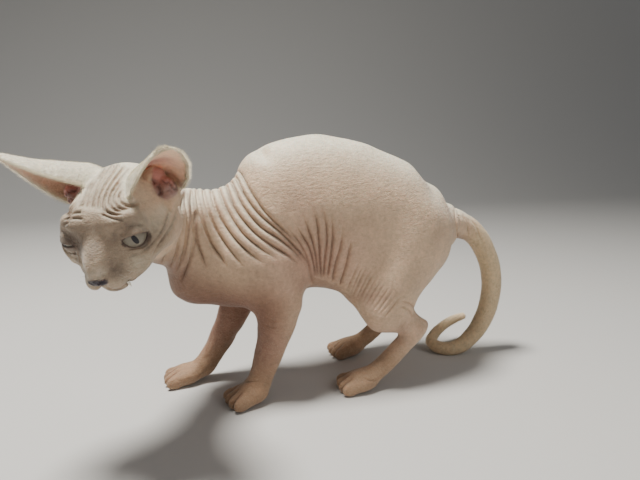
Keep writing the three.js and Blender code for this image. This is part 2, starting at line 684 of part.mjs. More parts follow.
const cat = new THREE.Group();
for (const [name, solid] of Object.entries(solids)) {
  const { vertProperties, triVerts } = solid.getMesh();
  const geometry = new THREE.BufferGeometry();
  geometry.setAttribute("position", new THREE.BufferAttribute(vertProperties, 3));
  geometry.setIndex(new THREE.BufferAttribute(triVerts, 1));
  const mesh = new THREE.Mesh(geometry, new THREE.MeshStandardMaterial({ ...finishOf(name), metalness: 0 }));
  mesh.name = name;
  cat.add(mesh);
}
const whole = new THREE.Box3().setFromObject(cat);
cat.position.set(-(whole.min.x + whole.max.x) / 2, -(whole.min.y + whole.max.y) / 2, -whole.min.z);

export default cat;
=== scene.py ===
# A young sphynx cat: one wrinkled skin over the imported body, with eyes, lids, claws and down of its own.
# Shapes are worked out in the body's own millimetres (cat faces -X, its left side is -Y) and moved at the end.
import math
import bpy
import bmesh
import numpy as np
from mathutils import Matrix, Vector
from mathutils.kdtree import KDTree


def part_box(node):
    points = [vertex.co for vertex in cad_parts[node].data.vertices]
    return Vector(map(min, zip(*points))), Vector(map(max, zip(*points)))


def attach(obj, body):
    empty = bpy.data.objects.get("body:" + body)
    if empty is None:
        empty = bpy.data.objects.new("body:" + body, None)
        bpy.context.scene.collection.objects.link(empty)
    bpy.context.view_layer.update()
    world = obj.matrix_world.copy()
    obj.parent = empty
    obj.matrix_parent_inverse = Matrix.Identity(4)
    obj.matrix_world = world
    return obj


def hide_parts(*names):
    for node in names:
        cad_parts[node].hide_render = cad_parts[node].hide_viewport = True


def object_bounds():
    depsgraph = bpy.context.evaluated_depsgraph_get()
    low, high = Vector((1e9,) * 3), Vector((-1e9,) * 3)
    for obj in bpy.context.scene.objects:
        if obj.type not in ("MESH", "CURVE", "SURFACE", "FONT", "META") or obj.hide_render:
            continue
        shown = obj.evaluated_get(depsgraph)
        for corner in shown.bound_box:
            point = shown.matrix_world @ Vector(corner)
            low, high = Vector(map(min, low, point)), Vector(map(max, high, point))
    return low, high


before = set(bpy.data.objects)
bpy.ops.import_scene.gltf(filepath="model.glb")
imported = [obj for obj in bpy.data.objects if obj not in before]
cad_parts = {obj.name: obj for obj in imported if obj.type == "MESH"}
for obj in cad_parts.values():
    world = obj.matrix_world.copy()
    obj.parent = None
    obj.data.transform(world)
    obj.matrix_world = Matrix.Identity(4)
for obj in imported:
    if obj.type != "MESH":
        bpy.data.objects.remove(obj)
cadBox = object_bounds()
random = np.random.default_rng(11)
perMetre = 1000  # the script's millimetres in one of the scene's metres
sideSigns = {"left": 1, "right": -1}  # the cat's left is + across its head

# Places shared with the body: the head's pose in millimetres and degrees, and the eyes in the head's own frame
headPose = {"centre": (-140.3, -63.5, 147.3), "yaw": 68, "pitch": 27, "roll": 6}
eyeShape = {"centre": (21.5, 13.6, 3.8), "radius": 8.8, "lid": 1.15}


def unit(v):
    v = np.asarray(v, float)
    return v / np.linalg.norm(v)


def sizeOf(rows):
    return np.linalg.norm(rows, axis=1)


def unitRows(rows):
    return rows / sizeOf(rows)[:, None]


def dots(a, b):
    return np.einsum("ij,ij->i", a, b)


def headAxes():
    yaw, pitch, roll = (math.radians(headPose[k]) for k in ("yaw", "pitch", "roll"))
    forward = np.array([-math.cos(yaw) * math.cos(pitch), -math.sin(yaw) * math.cos(pitch), -math.sin(pitch)])
    level = np.array([math.sin(yaw), -math.cos(yaw), 0])
    crown = np.cross(forward, level)
    left = math.cos(roll) * level + math.sin(roll) * crown
    up = math.cos(roll) * crown - math.sin(roll) * level
    return np.stack([forward, left, up])


headTurn = headAxes()
headCentre = np.array(headPose["centre"])


def intoHead(points):
    return (points - headCentre) @ headTurn.T


def outOfHead(points):
    return np.asarray(points, float) @ headTurn + headCentre


def nearSide(head):
    # places in the head's frame, with its far side read as if it were the near side
    return np.stack([head[:, 0], np.abs(head[:, 1]), head[:, 2]], 1)


def eyeCentre(sign):
    return np.array(eyeShape["centre"]) * [1, sign, 1]


eyeLow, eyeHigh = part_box("eye_left")
bodyShift = np.array((eyeLow + eyeHigh) / 2) * perMetre - outOfHead(eyeShape["centre"])


def toScene(points):
    return (np.asarray(points, float) + bodyShift) / perMetre


def toBody(points):
    return np.asarray(points, float) * perMetre - bodyShift


# Camera, at the photograph's place: spot in millimetres, turns in degrees, focal length in pixels
cameraPlace = {
    "spot": (-129.97, -357.08, 182), "turn": 20, "down": 10, "focal": 490, "width": 640, "height": 480,
}  # fmt: skip
turn, down = math.radians(cameraPlace["turn"]), math.radians(cameraPlace["down"])
cameraSpot = np.array(cameraPlace["spot"])
cameraAhead = np.array([math.sin(turn) * math.cos(down), math.cos(turn) * math.cos(down), -math.sin(down)])
cameraRight = np.array([math.cos(turn), -math.sin(turn), 0])
cameraUp = np.cross(cameraRight, cameraAhead)


def pixelsOf(points):
    q = points - cameraSpot
    depth = q @ cameraAhead
    across = cameraPlace["width"] / 2 + cameraPlace["focal"] * (q @ cameraRight) / depth
    return np.stack([across, cameraPlace["height"] / 2 - cameraPlace["focal"] * (q @ cameraUp) / depth], 1)


cameraData = bpy.data.cameras.new("camera")
cameraData.sensor_width = 36
cameraData.lens = cameraData.sensor_width * cameraPlace["focal"] / cameraPlace["width"]
camera = bpy.data.objects.new("camera", cameraData)
camera.location = toScene(cameraSpot)
camera.rotation_euler = (math.pi / 2 - down, 0, -turn)
bpy.context.scene.collection.objects.link(camera)
bpy.context.scene.camera = camera
print("camera placed")


# Small helpers
def smoothStep(low, high, x):
    t = np.clip((x - low) / (high - low), 0, 1)
    return t * t * (3 - 2 * t)


def insideBox(places, gap=0.0002):
    # keeps places, in metres, within the body's own bounds
    return np.clip(places, np.array(cadBox[0]) + gap, np.array(cadBox[1]) - gap)


def newObject(name, mesh):
    piece = bpy.data.objects.new(name, mesh)
    bpy.context.scene.collection.objects.link(piece)
    return piece


def meshFrom(name, shape):
    mesh = bpy.data.meshes.new(name)
    shape.to_mesh(mesh)
    shape.free()
    return mesh


def applied(piece):
    graph = bpy.context.evaluated_depsgraph_get()
    mesh = bpy.data.meshes.new_from_object(piece.evaluated_get(graph))
    name = piece.name
    bpy.data.objects.remove(piece)
    mesh.name = name
    return mesh


def finished(name, mesh, material, smooth=True):
    # a finished piece, which rides on the one still body
    mesh.materials.clear()
    mesh.materials.append(material)
    if smooth:
        for polygon in mesh.polygons:
            polygon.use_smooth = True
    piece = newObject(name, mesh)
    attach(piece, "root")
    return piece


def readOut(items, name, width=3, kind=np.float32):
    # one property of a mesh's points, edges or triangles, as a table
    flat = np.empty(len(items) * width, kind)
    items.foreach_get(name, flat)
    return flat.reshape(-1, width)


def placesOf(mesh):
    return readOut(mesh.vertices, "co").astype(float)


def normalsOf(mesh):
    return readOut(mesh.vertices, "normal").astype(float)


def setPlaces(mesh, places):
    mesh.vertices.foreach_set("co", np.asarray(places, np.float32).ravel())
    mesh.update()


def curveThrough(points, count):
    points = np.asarray(points, float)
    spans = len(points) - 1
    padded = np.vstack([2 * points[0] - points[1], points, 2 * points[-1] - points[-2]])
    t = np.linspace(0, spans, count)
    k = np.minimum(t.astype(int), spans - 1)
    f = (t - k)[:, None]
    a, b, c, d = padded[k], padded[k + 1], padded[k + 2], padded[k + 3]
    return 0.5 * (2 * b + (c - a) * f + (2 * a - 5 * b + 4 * c - d) * f**2 + (3 * b - a - 3 * c + d) * f**3)


def nearLine(points, line):
    # distance to a polyline, in any number of dimensions, and the share of the way along it
    best = np.full(len(points), np.inf)
    share = np.zeros(len(points))
    steps = len(line) - 1
    for i in range(steps):
        edge = line[i + 1] - line[i]
        t = np.clip(((points - line[i]) @ edge) / max(edge @ edge, 1e-9), 0, 1)
        gap = points - line[i] - t[:, None] * edge
        d = dots(gap, gap)
        share = np.where(d < best, (i + t) / steps, share)
        best = np.minimum(best, d)
    return np.sqrt(best), share


def foldField(points, folds, width, fades=(0.25, 0.25), over=0):
    # how deep each point lies in a set of folds: sharp grooves with round ridges between them
    total = np.ones(len(points))
    margin = width * 6
    for strength, fold in folds:
        line = curveThrough(fold, 3 * len(fold))
        if over:
            line = np.vstack([line[0] + over * unit(line[0] - line[1]), line])
        near = np.all((points > line.min(0) - margin) & (points < line.max(0) + margin), axis=1)
        if not near.any():
            continue
        away, share = nearLine(points[near], line)
        ends = smoothStep(0, fades[0], share) * smoothStep(0, fades[1], 1 - share)
        total[near] *= 1 - strength * ends * np.exp(-away / width)
    return 1 - total


# The ears: cupped shells with a broad foot and a rounded tip
earShape = {
    "length": 52,
    "halfWidth": 18.5,
    "thickness": 1.6,
    "tipDrop": 1.2,  # how much the tip is drawn in
    "footShift": 10,  # how far the foot lies to the inner side
    "widths": ((0, 0.2, 0.5, 0.75, 0.9, 1), (0.86, 1, 0.9, 0.65, 0.4, 0.12)),
    "cup": ((0, 0.35, 0.7, 1), (105, 84, 58, 40)),
    "left": {"foot": (-10, 28, 5), "axis": (0.53, 0.28, 0.8), "opening": (0.64, 0.52, -0.57), "twist": 0},
    "right": {"foot": (-10, -28, 5), "axis": (0.38, -0.36, 0.86), "opening": (0.64, -0.52, -0.57), "twist": 30},
}


def earAxes(side):
    shape = earShape[side]
    axis = unit(shape["axis"])
    opening = np.array(shape["opening"])
    opening = unit(opening - axis * (axis @ opening))
    return np.array(shape["foot"]), axis, opening, np.cross(axis, opening) * sideSigns[side]


def twisted(way, axis, angle):
    # a direction across the axis, turned about it
    return way * np.cos(angle) + np.cross(axis, way) * np.sin(angle)


def earPlaces(side, s, t, inward):
    # places on an ear's wall, s of the way from foot to tip and t from its middle to an edge
    foot, axis, opening, across = earAxes(side)
    cup = np.radians(np.interp(s, *earShape["cup"]))
    half = earShape["halfWidth"] * np.interp(s, *earShape["widths"])
    radius = half / np.sin(np.minimum(cup, math.pi / 2)) - inward
    height = earShape["length"] * s - earShape["tipDrop"] * smoothStep(0.9, 1, s)
    sideways = -earShape["footShift"] * np.maximum(1 - s, 0) ** 1.2 + radius * np.sin(cup * t)
    outward = (radius + inward) * np.cos(cup) - radius * np.cos(cup * t)
    twist = np.radians(earShape[side]["twist"] * (1 - s))[:, None]
    places = foot + axis * height[:, None] + twisted(across, axis, twist) * sideways[:, None]
    return outOfHead(places + twisted(opening, axis, twist) * outward[:, None])


def earShell(side, steps=(44, 60)):
    shell = bmesh.new()
    bmesh.ops.create_grid(shell, x_segments=steps[0], y_segments=steps[1], size=1)
    flat = np.array([v.co for v in shell.verts])
    places = earPlaces(side, (flat[:, 1] + 1) / 2, flat[:, 0], earShape["thickness"] / 2)
    for vert, place in zip(shell.verts, toScene(places)):
        vert.co = place
    piece = newObject("earShell", meshFrom("earShell", shell))
    wall = piece.modifiers.new("wall", "SOLIDIFY")
    wall.thickness = earShape["thickness"] / perMetre
    wall.offset = 0
    return applied(piece)


# The tail, along the route of the body's own tail: x, y, z and radius
tailRoute = (
    (106, 0, 122, 17.5), (121, 0, 122, 14.5), (132, 0, 119.5, 11.4), (143, -1, 113.5, 9.8), (156, -2, 97, 9),
    (165, -2, 74, 8.8), (166, -1, 50, 8.4), (160, 0, 30, 8), (149, 1, 15, 7.2), (135, 2, 6.3, 6.5),
    (122, 6, 5.6, 5.7), (116, 14, 8.5, 5), (121, 21, 11, 4.7), (133, 26, 17, 4.3), (149, 31, 21, 4),
    (164.5, 33.9, 22.9, 3.2),
)  # fmt: skip
tailPlaces, tailRadii = np.split(np.array(tailRoute), [3], axis=1)


def newCurve(name, kind, count, sides):
    data = bpy.data.curves.new(name, "CURVE")
    data.dimensions = "3D"
    data.bevel_resolution = sides // 4
    spline = data.splines.new(kind)
    (spline.bezier_points if kind == "BEZIER" else spline.points).add(count - 1)
    return data, spline


def tubeAlong(name, places, radii, sides, spans):
    data, spline = newCurve(name, "BEZIER", len(places), sides)
    data.bevel_depth = 1
    data.resolution_u = spans
    data.use_fill_caps = True
    for point, place, radius in zip(spline.bezier_points, toScene(places), radii):
        point.co = place
        point.handle_left_type = point.handle_right_type = "AUTO"
        point.radius = radius / perMetre
    return applied(newObject(name, data))


def closedTube(name, places, radius):
    data, spline = newCurve(name, "POLY", len(places), 12)
    data.bevel_depth = radius / perMetre
    for point, place in zip(spline.points, toScene(places)):
        point.co = (*place, 1)
    spline.use_cyclic_u = True
    return applied(newObject(name, data))


# Toes, four to a paw: centre of the paw, the way its toes point in degrees from +X
paws = {
    "foreLeft": ((-63.5, -22, 7.2), 192),
    "foreRight": ((-104, 28, 7.2), 180),
    "hindLeft": ((22, -31, 7.2), 172),
    "hindRight": ((40, 35, 7.2), 180),
}
toeShape = {
    "reach": 10.5, "drawnIn": 1.1, "spacing": 5.6, "spread": 11.5, "drop": 2.2,
    "size": (8.2, 3.9, 5.7), "slots": (-1.5, -0.5, 0.5, 1.5),
}  # fmt: skip


def heading(angle):
    return np.array([math.cos(angle), math.sin(angle), 0])


def leftOf(ahead):
    return np.array([-ahead[1], ahead[0], 0])


def toePlace(paw, slot):
    centre, degrees = paws[paw]
    ahead = heading(math.radians(degrees))
    reach = toeShape["reach"] - abs(slot) * toeShape["drawnIn"]
    place = np.array(centre) + ahead * reach + leftOf(ahead) * slot * toeShape["spacing"]
    place[2] -= toeShape["drop"]
    return place, math.radians(degrees + slot * toeShape["spread"])


# The skin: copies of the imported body's flesh are merged, closed up and drawn finely
skinShape = {
    "close": 0.4, "eyes": 0.5, "coarse": 1.3, "fine": 0.6, "triangles": 190000,
    "limb": 0.72, "foot": 0.2, "head": 0.8, "least": 0.06,  # how far these keep out of the smoothing
}  # fmt: skip
fleshNodes = sorted(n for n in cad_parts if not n.startswith("eye"))


def addCopy(whole, mesh, grow=0.0, merge=True):
    part = bmesh.new()
    part.from_mesh(mesh)
    if merge:
        bmesh.ops.remove_doubles(part, verts=part.verts, dist=1e-6)
    part.normal_update()
    moves = [v.normal.copy() for v in part.verts]
    for vert, move in zip(part.verts, moves):
        vert.co += move * grow
    bmesh.ops.triangulate(part, faces=part.faces)
    joined = meshFrom("part", part)
    whole.from_mesh(joined)
    bpy.data.meshes.remove(joined)


def remeshed(whole, voxel):
    piece = newObject("skin", meshFrom("skin", whole))
    net = piece.modifiers.new("net", "REMESH")
    net.mode = "VOXEL"
    net.voxel_size = voxel / perMetre
    return applied(piece)


def edgesOf(mesh):
    return readOut(mesh.edges, "vertices", 2, np.int32)


def relaxed(values, edges, weight, rounds, step=0.5):
    # each point moves towards the middle of its neighbours, as far as its weight lets it
    count = len(values)
    a, b = edges[:, 0], edges[:, 1]
    degree = np.maximum(np.bincount(a, minlength=count) + np.bincount(b, minlength=count), 1)
    values = values.copy()
    pull = (weight * step)[:, None]
    for _ in range(rounds):
        middle = np.empty_like(values)
        for k in range(values.shape[1]):
            total = np.bincount(a, values[b, k], count) + np.bincount(b, values[a, k], count)
            middle[:, k] = total / degree
        values += pull * (middle - values)
    return values


def keptSmooth(places, edges, weight, rounds):
    # smoothing that gives back the bulk it takes
    once = relaxed(places, edges, weight, rounds)
    return once + relaxed(places - once, edges, weight, rounds)


print("joining", len(fleshNodes), "flesh nodes")
whole = bmesh.new()
for node in fleshNodes:
    if not node.startswith(("ear", "tail")):
        addCopy(whole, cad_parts[node].data, skinShape["close"] / perMetre)
for side in sideSigns:
    addCopy(whole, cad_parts["eye_" + side].data, skinShape["eyes"] / perMetre)
coarse = remeshed(whole, skinShape["coarse"])
places = toBody(placesOf(coarse))
headNear = smoothStep(44, 32, sizeOf(intoHead(places) - [8, 0, -3]))
limb = smoothStep(84, 60, places[:, 2]) * (1 - headNear)
foot = smoothStep(44, 26, places[:, 2])
weight = 1 - skinShape["limb"] * limb - skinShape["foot"] * foot - skinShape["head"] * headNear
places = keptSmooth(places, edgesOf(coarse), np.clip(weight, skinShape["least"], 1), 60)
setPlaces(coarse, toScene(places))
setPlaces(coarse, toScene(places - normalsOf(coarse) * skinShape["close"]))
print("body smoothed", len(places))

# Flesh in the ears: along the axis, across and out of the opening from the foot, then its radii
earFlesh = (
    ((0, -9.5, -4), (9, 14.6, 14.6)),  # floor of the cup
    ((7, -17, -3), (8, 5, 7)),  # lobe behind
    ((6, -5, -12), (8, 7, 5)),  # lobe in the middle
    ((4, -1, -3), (8, 4.5, 7)),  # lobe in front
)


def ovalMesh(place, turn, radii):
    size = Matrix.Diagonal((*(r / perMetre for r in radii), 1))
    placed = Matrix.Translation(toScene(place)) @ Matrix(turn).to_4x4() @ size
    oval = bmesh.new()
    bmesh.ops.create_icosphere(oval, subdivisions=3, radius=1, matrix=placed)
    return meshFrom("oval", oval)


def earTurn(side):
    # the ear's own frame at its foot, as rows: along, across, out of the opening
    foot, axis, opening, across = earAxes(side)
    twist = math.radians(earShape[side]["twist"])
    return foot, np.array([axis, twisted(across, axis, twist), twisted(opening, axis, twist)])


whole = bmesh.new()
addCopy(whole, coarse, merge=False)
for side in sideSigns:
    addCopy(whole, earShell(side))
    foot, rows = earTurn(side)
    for offset, radii in earFlesh:
        place = outOfHead(foot + rows.T @ np.array(offset))
        addCopy(whole, ovalMesh(place, headTurn.T @ rows.T, radii))
addCopy(whole, tubeAlong("tail", tailPlaces, tailRadii[:, 0], 28, 8))
for paw in paws:
    for slot in toeShape["slots"]:
        place, angle = toePlace(paw, slot)
        addCopy(whole, ovalMesh(place, Matrix.Rotation(angle, 3, "Z"), toeShape["size"]))
skinMesh = remeshed(whole, skinShape["fine"])
print("skin drawn", len(skinMesh.vertices))

places = toBody(placesOf(skinMesh))
edges = edgesOf(skinMesh)

# A net of places on the ears, to find where each point lies on them
earNet, netSteps = {}, 90
for side in sideSigns:
    s, t = (g.ravel() for g in np.meshgrid(np.linspace(0, 1, netSteps), np.linspace(-1, 1, netSteps)))
    outer = earPlaces(side, s, t, 0)
    inner = earPlaces(side, s, t, earShape["thickness"])
    tree = KDTree(len(s))
    for i, place in enumerate((outer + inner) / 2):
        tree.insert(place, i)
    tree.balance()
    earNet[side] = (tree, s, t, outer, inner)


def earReading(points):
    # for each point: how far from an ear's middle, its shares s and t, how far into the cup, and the ear's sign
    reading = {name: np.zeros(len(points)) for name in ("away", "s", "t", "inside", "side")}
    reading["away"] += 99
    head = intoHead(points)
    for side, sign in sideSigns.items():
        tree, s, t, outer, inner = earNet[side]
        foot, axis = earAxes(side)[:2]
        near = ((head - foot) @ axis > -6) & (head[:, 1] * sign > 4)
        for i in np.where(near)[0]:
            k, away = tree.find(points[i])[1:]
            if away < 7 and away < reading["away"][i]:
                inside = (points[i] - (outer[k] + inner[k]) / 2) @ unit(inner[k] - outer[k])
                for name, value in zip(reading, (away, s[k], t[k], inside, sign)):
                    reading[name][i] = value
    return reading


ear = earReading(places)
onEar = smoothStep(4.5, 1.8, ear["away"]) * (ear["s"] > 0.02)
print("ears read", int((ear["away"] < 2).sum()))

# The head's own form, in the head's frame, for the left side: centre, radii, and how softly it joins the rest
headForms = (
    ((-7, 0, 3.5), (28, 24.5, 22.5), 0),  # brain case
    ((12, 0, 8), (20, 20.5, 15.5), 9),  # forehead
    ((-3, 17, -9.5), (18, 12, 12.5), 9),  # jaw muscle
    ((12, 20, -4), (14, 10.5, 8.5), 8),  # cheekbone
    ((22, 9.5, 13.6), (8, 8.5, 5.5), 7),  # brow
    ((23.5, 14.5, 9.5), (7.2, 7.5, 5), 6),  # fold over the eye
    ((25, 0, -7), (15, 12.5, 10.8), 8),  # muzzle
    ((21, 13, -8), (12, 8, 8), 8),  # cheek
    ((29, 0, 1.0), (14, 7.2, 7.2), 8),  # root of the nose
    ((38, 0, -3.5), (9.5, 5.2, 6), 5),  # bridge of the nose
    ((35.5, 5.2, -12.4), (8.8, 5.4, 6.2), 4),  # whisker pad
    ((43.6, 0, -8.0), (3.8, 5.6, 3.4), 2.5),  # nose leather
    ((30.5, 0, -21.0), (6.8, 7.0, 4.2), 3),  # chin
    ((15, 8.5, -17.0), (18, 7.5, 5.6), 7),  # lower jaw
)
headHollow = ((31.5, 20.5, 9.5), (6.5, 8, 3.6), 7)


def ovalField(points, centre, radii):
    q = (points - np.array(centre)) / radii
    size = sizeOf(q)
    return size * (size - 1) / np.maximum(sizeOf(q / radii), 1e-6)


def smoothMin(a, b, blend):
    h = np.maximum(blend - np.abs(a - b), 0) / blend
    return np.minimum(a, b) - h * h * blend / 4


def headField(points):
    # distance, nearly, from the head's own surface
    q = nearSide(points)
    field = ovalField(q, *headForms[0][:2])
    for centre, radii, blend in headForms[1:]:
        field = smoothMin(field, ovalField(q, centre, radii), blend)
    centre, radii, blend = headHollow
    field = -smoothMin(-field, ovalField(q, centre, radii), blend)
    lid = sizeOf(q - eyeShape["centre"]) - eyeShape["radius"] - eyeShape["lid"]
    return smoothMin(field, lid, 2.5)


def settleHead(places, rounds=4, probe=0.05, farthest=4):
    # moves the face's points onto the head's own surface, and fades out towards the neck and ears
    q = intoHead(places)
    near = (sizeOf(q - [10, 0, -2]) < 48) & (q[:, 0] > -12)
    q = q[near]
    full = smoothStep(-12, 2, q[:, 0]) * (1 - onEar[near]) * smoothStep(34, 28, np.abs(q[:, 1]))
    start = q.copy()
    for _ in range(rounds):
        here = headField(q)
        slope = np.stack([headField(q + d) - here for d in np.eye(3) * probe], 1) / probe
        slope /= np.maximum(dots(slope, slope), 0.3)[:, None]
        q -= np.clip(here, -1.2, 1.2)[:, None] * slope
    move = q - start
    move *= (full * np.minimum(1, farthest / np.maximum(sizeOf(move), 1e-6)))[:, None]
    places = places.copy()
    places[near] += move @ headTurn
    return places


places = relaxed(places, edges, 0.25 + 0.2 * onEar, 12)
places = settleHead(places)
setPlaces(skinMesh, toScene(places))
smoothNormals = relaxed(normalsOf(skinMesh), edges, np.ones(len(places)), 4)
smoothNormals /= np.maximum(sizeOf(smoothNormals), 1e-6)[:, None]
inHead = intoHead(places)
print("head settled")

# Folds of the near side, each along its groove from the back down, in the photograph's pixels.
neckFolds = (
    (0.6, ((178, 206), (177, 225), (172, 244), (164, 260), (155, 270))),
    (0.8, ((197, 222), (195, 245), (190, 262), (182, 278), (173, 290))),
    (0.8, ((184, 200), (182, 215), (181, 230), (179, 245), (176, 258), (168, 272), (162, 280))),
    (1.0, ((188, 200), (190, 215), (189, 230), (186, 250), (180, 266), (171, 279))),
    (0.9, ((193, 198), (196, 226), (199, 244), (203, 258), (207, 272))),
    (0.9, ((198.5, 195.5), (204, 220), (211, 242), (221, 258), (230, 272))),
    (0.9, ((205, 193), (212, 217), (222, 239), (234, 256), (247, 270))),
    (1.0, ((212, 191), (220, 215), (233, 237), (249, 253), (268, 266))),
    (0.9, ((219, 188.5), (228.5, 212), (242, 232.5), (260, 248), (282, 262))),
    (1.0, ((226, 186), (235, 209), (252, 230), (271, 245), (290, 256.5), (306, 269))),
    (1.0, ((231, 183), (243.5, 206.5), (260, 226), (279, 239), (296, 253), (309, 270))),
    (1.0, ((236, 180), (247, 199), (261, 216), (280, 232), (296, 248), (307, 262), (311, 279))),
    (0.8, ((242, 178), (252, 194), (264, 211), (277, 224), (290, 236), (302, 250))),
)
armpitFolds = (
    (0.7, ((280, 218), (292, 233), (301, 245), (307, 258), (311, 272), (313, 286))),
    (0.9, ((292, 218), (302, 235), (309, 247), (313, 260), (316, 279))),
    (0.9, ((301, 210), (308, 228), (313, 243), (316, 258), (318, 278))),
    (0.9, ((312, 204), (317, 222), (319, 240), (320, 258), (321, 280))),
    (0.8, ((321, 202), (326, 222), (327, 240), (325, 258), (323, 280))),
    (0.8, ((331, 210), (333, 235), (331, 255), (327, 280))),
    (0.7, ((343, 220), (341, 245), (336, 262), (331, 284))),
    (0.7, ((352, 236), (347, 262), (339, 286))),
)
flankFolds = (
    (0.8, ((361, 258), (353, 276), (345, 293))),
    (0.8, ((369, 262), (360, 280), (350, 300))),
    (0.8, ((376, 268), (367, 285), (356, 304))),
    (0.8, ((384, 276), (374, 292), (362, 311))),
    (0.7, ((391, 284), (382, 298), (369, 316))),
    (0.6, ((398, 291), (389, 304), (376, 320))),
)
flankFolds += tuple((0.7, tuple((u + 4, v + 2.5) for u, v in fold)) for _, fold in flankFolds)
legFolds = (
    (0.5, ((398, 305), (408, 310), (415, 318))),
    (0.5, ((400, 300), (411, 305), (420, 314))),
    (0.6, ((454, 203), (457, 226), (458, 245))),
    (0.5, ((462, 212), (467, 224), (468, 238))),
    (0.5, ((470, 217), (478, 230), (482, 246))),
    (0.2, ((262, 314), (271, 320), (283, 322))),
    (0.2, ((259, 322), (270, 327), (282, 328))),
    (0.5, ((234, 378), (246, 382), (262, 381))),
    (0.5, ((187, 368), (196, 372), (206, 370))),
    (0.5, ((360, 376), (371, 381), (380, 379))),
)
browFolds = (
    (0.9, ((101, 166), (92, 180), (87, 190), (83, 200), (78, 209))),
    (0.9, ((106, 166), (97, 180), (91, 190), (88, 200), (86, 210))),
    (1.0, ((111, 166), (101, 180), (96, 190), (93, 200), (92, 211))),
    (1.0, ((116, 167), (106, 181), (101, 190), (98, 200), (98, 212))),
    (1.0, ((122, 168), (111, 182), (106, 192), (103, 201), (104, 209), (112, 213), (127, 215))),
    (1.0, ((127, 171), (115, 185), (110, 194), (109, 202), (114, 208), (128, 211))),
    (0.9, ((132, 174), (119, 186), (114, 195), (115, 203), (122, 207), (134, 208))),
    (0.8, ((138, 176), (124, 188), (119, 196), (122, 202), (131, 205), (142, 205))),
    (0.6, ((106, 216), (114, 219), (125, 220))),
    (0.6, ((64, 222), (72, 218), (84, 219))),
    (0.6, ((68, 216), (74, 212), (82, 212))),
    (0.4, ((124, 232), (133, 226), (146, 225))),
)
faceFolds = (
    (0.5, ((121, 246), (133, 250), (145, 246), (152, 236))),
    (0.35, ((124, 252), (138, 254), (151, 245), (158, 234))),
    (0.5, ((178, 206), (172, 225), (160, 243), (150, 260))),
    (0.4, ((170, 208), (164, 226), (154, 243))),
)

# For the body and for the head: share, folds, width, fading at both ends, and the reach past the first end
bodyFolds = (
    (1, neckFolds, 1.7, (0.04, 0.3), 14),
    (1, armpitFolds, 1.6, (0.35, 0.1)),
    (0.45, flankFolds, 1.1, (0.45, 0.35)),
    (0.7, legFolds, 0.8, (0.3, 0.3)),
)
headFolds = ((1, browFolds, 1.35, (0.05, 0.15), 6), (1, faceFolds, 1.0, (0.3, 0.3)))
foldDepth = {"body": 4.0, "brow": 3.0, "mouthCorner": 1.8, "toes": 1.5, "earCup": 2.2}


def middleOf(x):
    # the body's middle surface, which bends to the cat's left in the neck
    return np.interp(x, (-130, -115, -94, -66), (-43, -21, -4, 0))


def headShare(head):
    return smoothStep(46, 38, sizeOf(head - [8, 0, -2]))


def foldsSeen(spot, facing, least, most, foldSets):
    # how deep the folds drawn over each point are, and how far it faces the camera's place
    seen = smoothStep(least, most, dots(facing, unitRows(cameraSpot - spot)))
    px = pixelsOf(spot)
    value = np.zeros(len(px))
    for share, *folds in foldSets:
        value = 1 - (1 - value) * (1 - share * foldField(px, *folds))
    return value, seen


def foldReading(places, normals):
    # reads the near side's folds for both sides of the body, and the brow's for both sides of the head
    head = intoHead(places)
    headNormals = normals @ headTurn.T
    body = np.zeros(len(places))
    brow = np.zeros(len(places))
    middle = middleOf(places[:, 0])
    aside = places[:, 1] - middle
    outer = np.maximum(smoothStep(-6, 4, np.abs(aside) - 4), smoothStep(108, 118, places[:, 2]))
    for sign in (1, -1):
        spot = places.copy()
        if sign < 0:
            spot[:, 1] = 2 * middle - spot[:, 1]
        value, seen = foldsSeen(spot, normals * [1, sign, 1], -0.35, 0.1, bodyFolds)
        mine = smoothStep(3 * sign, -3 * sign, aside)
        body = np.maximum(body, value * mine * seen * outer)
        spot, facing = outOfHead(head * [1, sign, 1]), (headNormals * [1, sign, 1]) @ headTurn
        value, seen = foldsSeen(spot, facing, -0.1, 0.15, headFolds)
        mine = smoothStep(-11.5 - 3.5 * sign, -11.5 + 3.5 * sign, head[:, 1])
        brow = np.maximum(brow, value * mine * seen)
    headPart = headShare(head)
    return body * (1 - headPart), brow * headPart


def around(points, centre, radii):
    return np.exp(-np.sum(((points - np.array(centre)) / np.array(radii)) ** 2, axis=1))


def nearPicture(places):
    # picture places, with the head's far side read as if it were the near side
    return pixelsOf(outOfHead(nearSide(intoHead(places))))


# Lines of the face, in the head's frame: depth, width and course
faceLines = (
    (1.2, 0.55, ((47.5, 0, -11), (46, 0, -13), (44.5, 0, -15.6))),  # groove under the nose
    # lips
    (2.2, 0.8, ((44.5, 0, -16), (42.5, 4, -18.3), (38, 7.8, -19.9), (32.5, 10.6, -19.8), (28, 12.2, -18.6))),
    (1.2, 0.7, ((47.6, 5.0, -7.2), (45.2, 5.3, -6.2), (43.4, 4.9, -5.6))),  # wing of the nose
    (2.2, 0.75, ((49.6, 2.2, -8.6), (49.0, 3.2, -8.5), (48.2, 4.2, -8.0))),  # nostril
    (0.5, 1.2, ((40.5, 7.5, -5.5), (36, 8.2, -5), (32, 9, -4))),  # side of the bridge
)
mouthCorner = (130.5, 282.8)  # in the picture


def lineMark(q, line, width):
    # 1 on a line drawn on the muzzle as seen from a point inside it, fading within a few widths
    mark = np.zeros(len(q))
    near = sizeOf(q - np.mean(line, axis=0)) < 22
    inside = np.array([22, 0, -11])
    reach = sizeOf(q[near] - inside)
    drawn = unitRows(curveThrough(line, 4 * len(line)) - inside)
    away = nearLine((q[near] - inside) / reach[:, None], drawn)[0] * reach
    mark[near] = np.exp(-((away / width) ** 2))
    return mark


def onMuzzle(head):
    return (head[:, 0] > 18) * (head[:, 2] < -8)


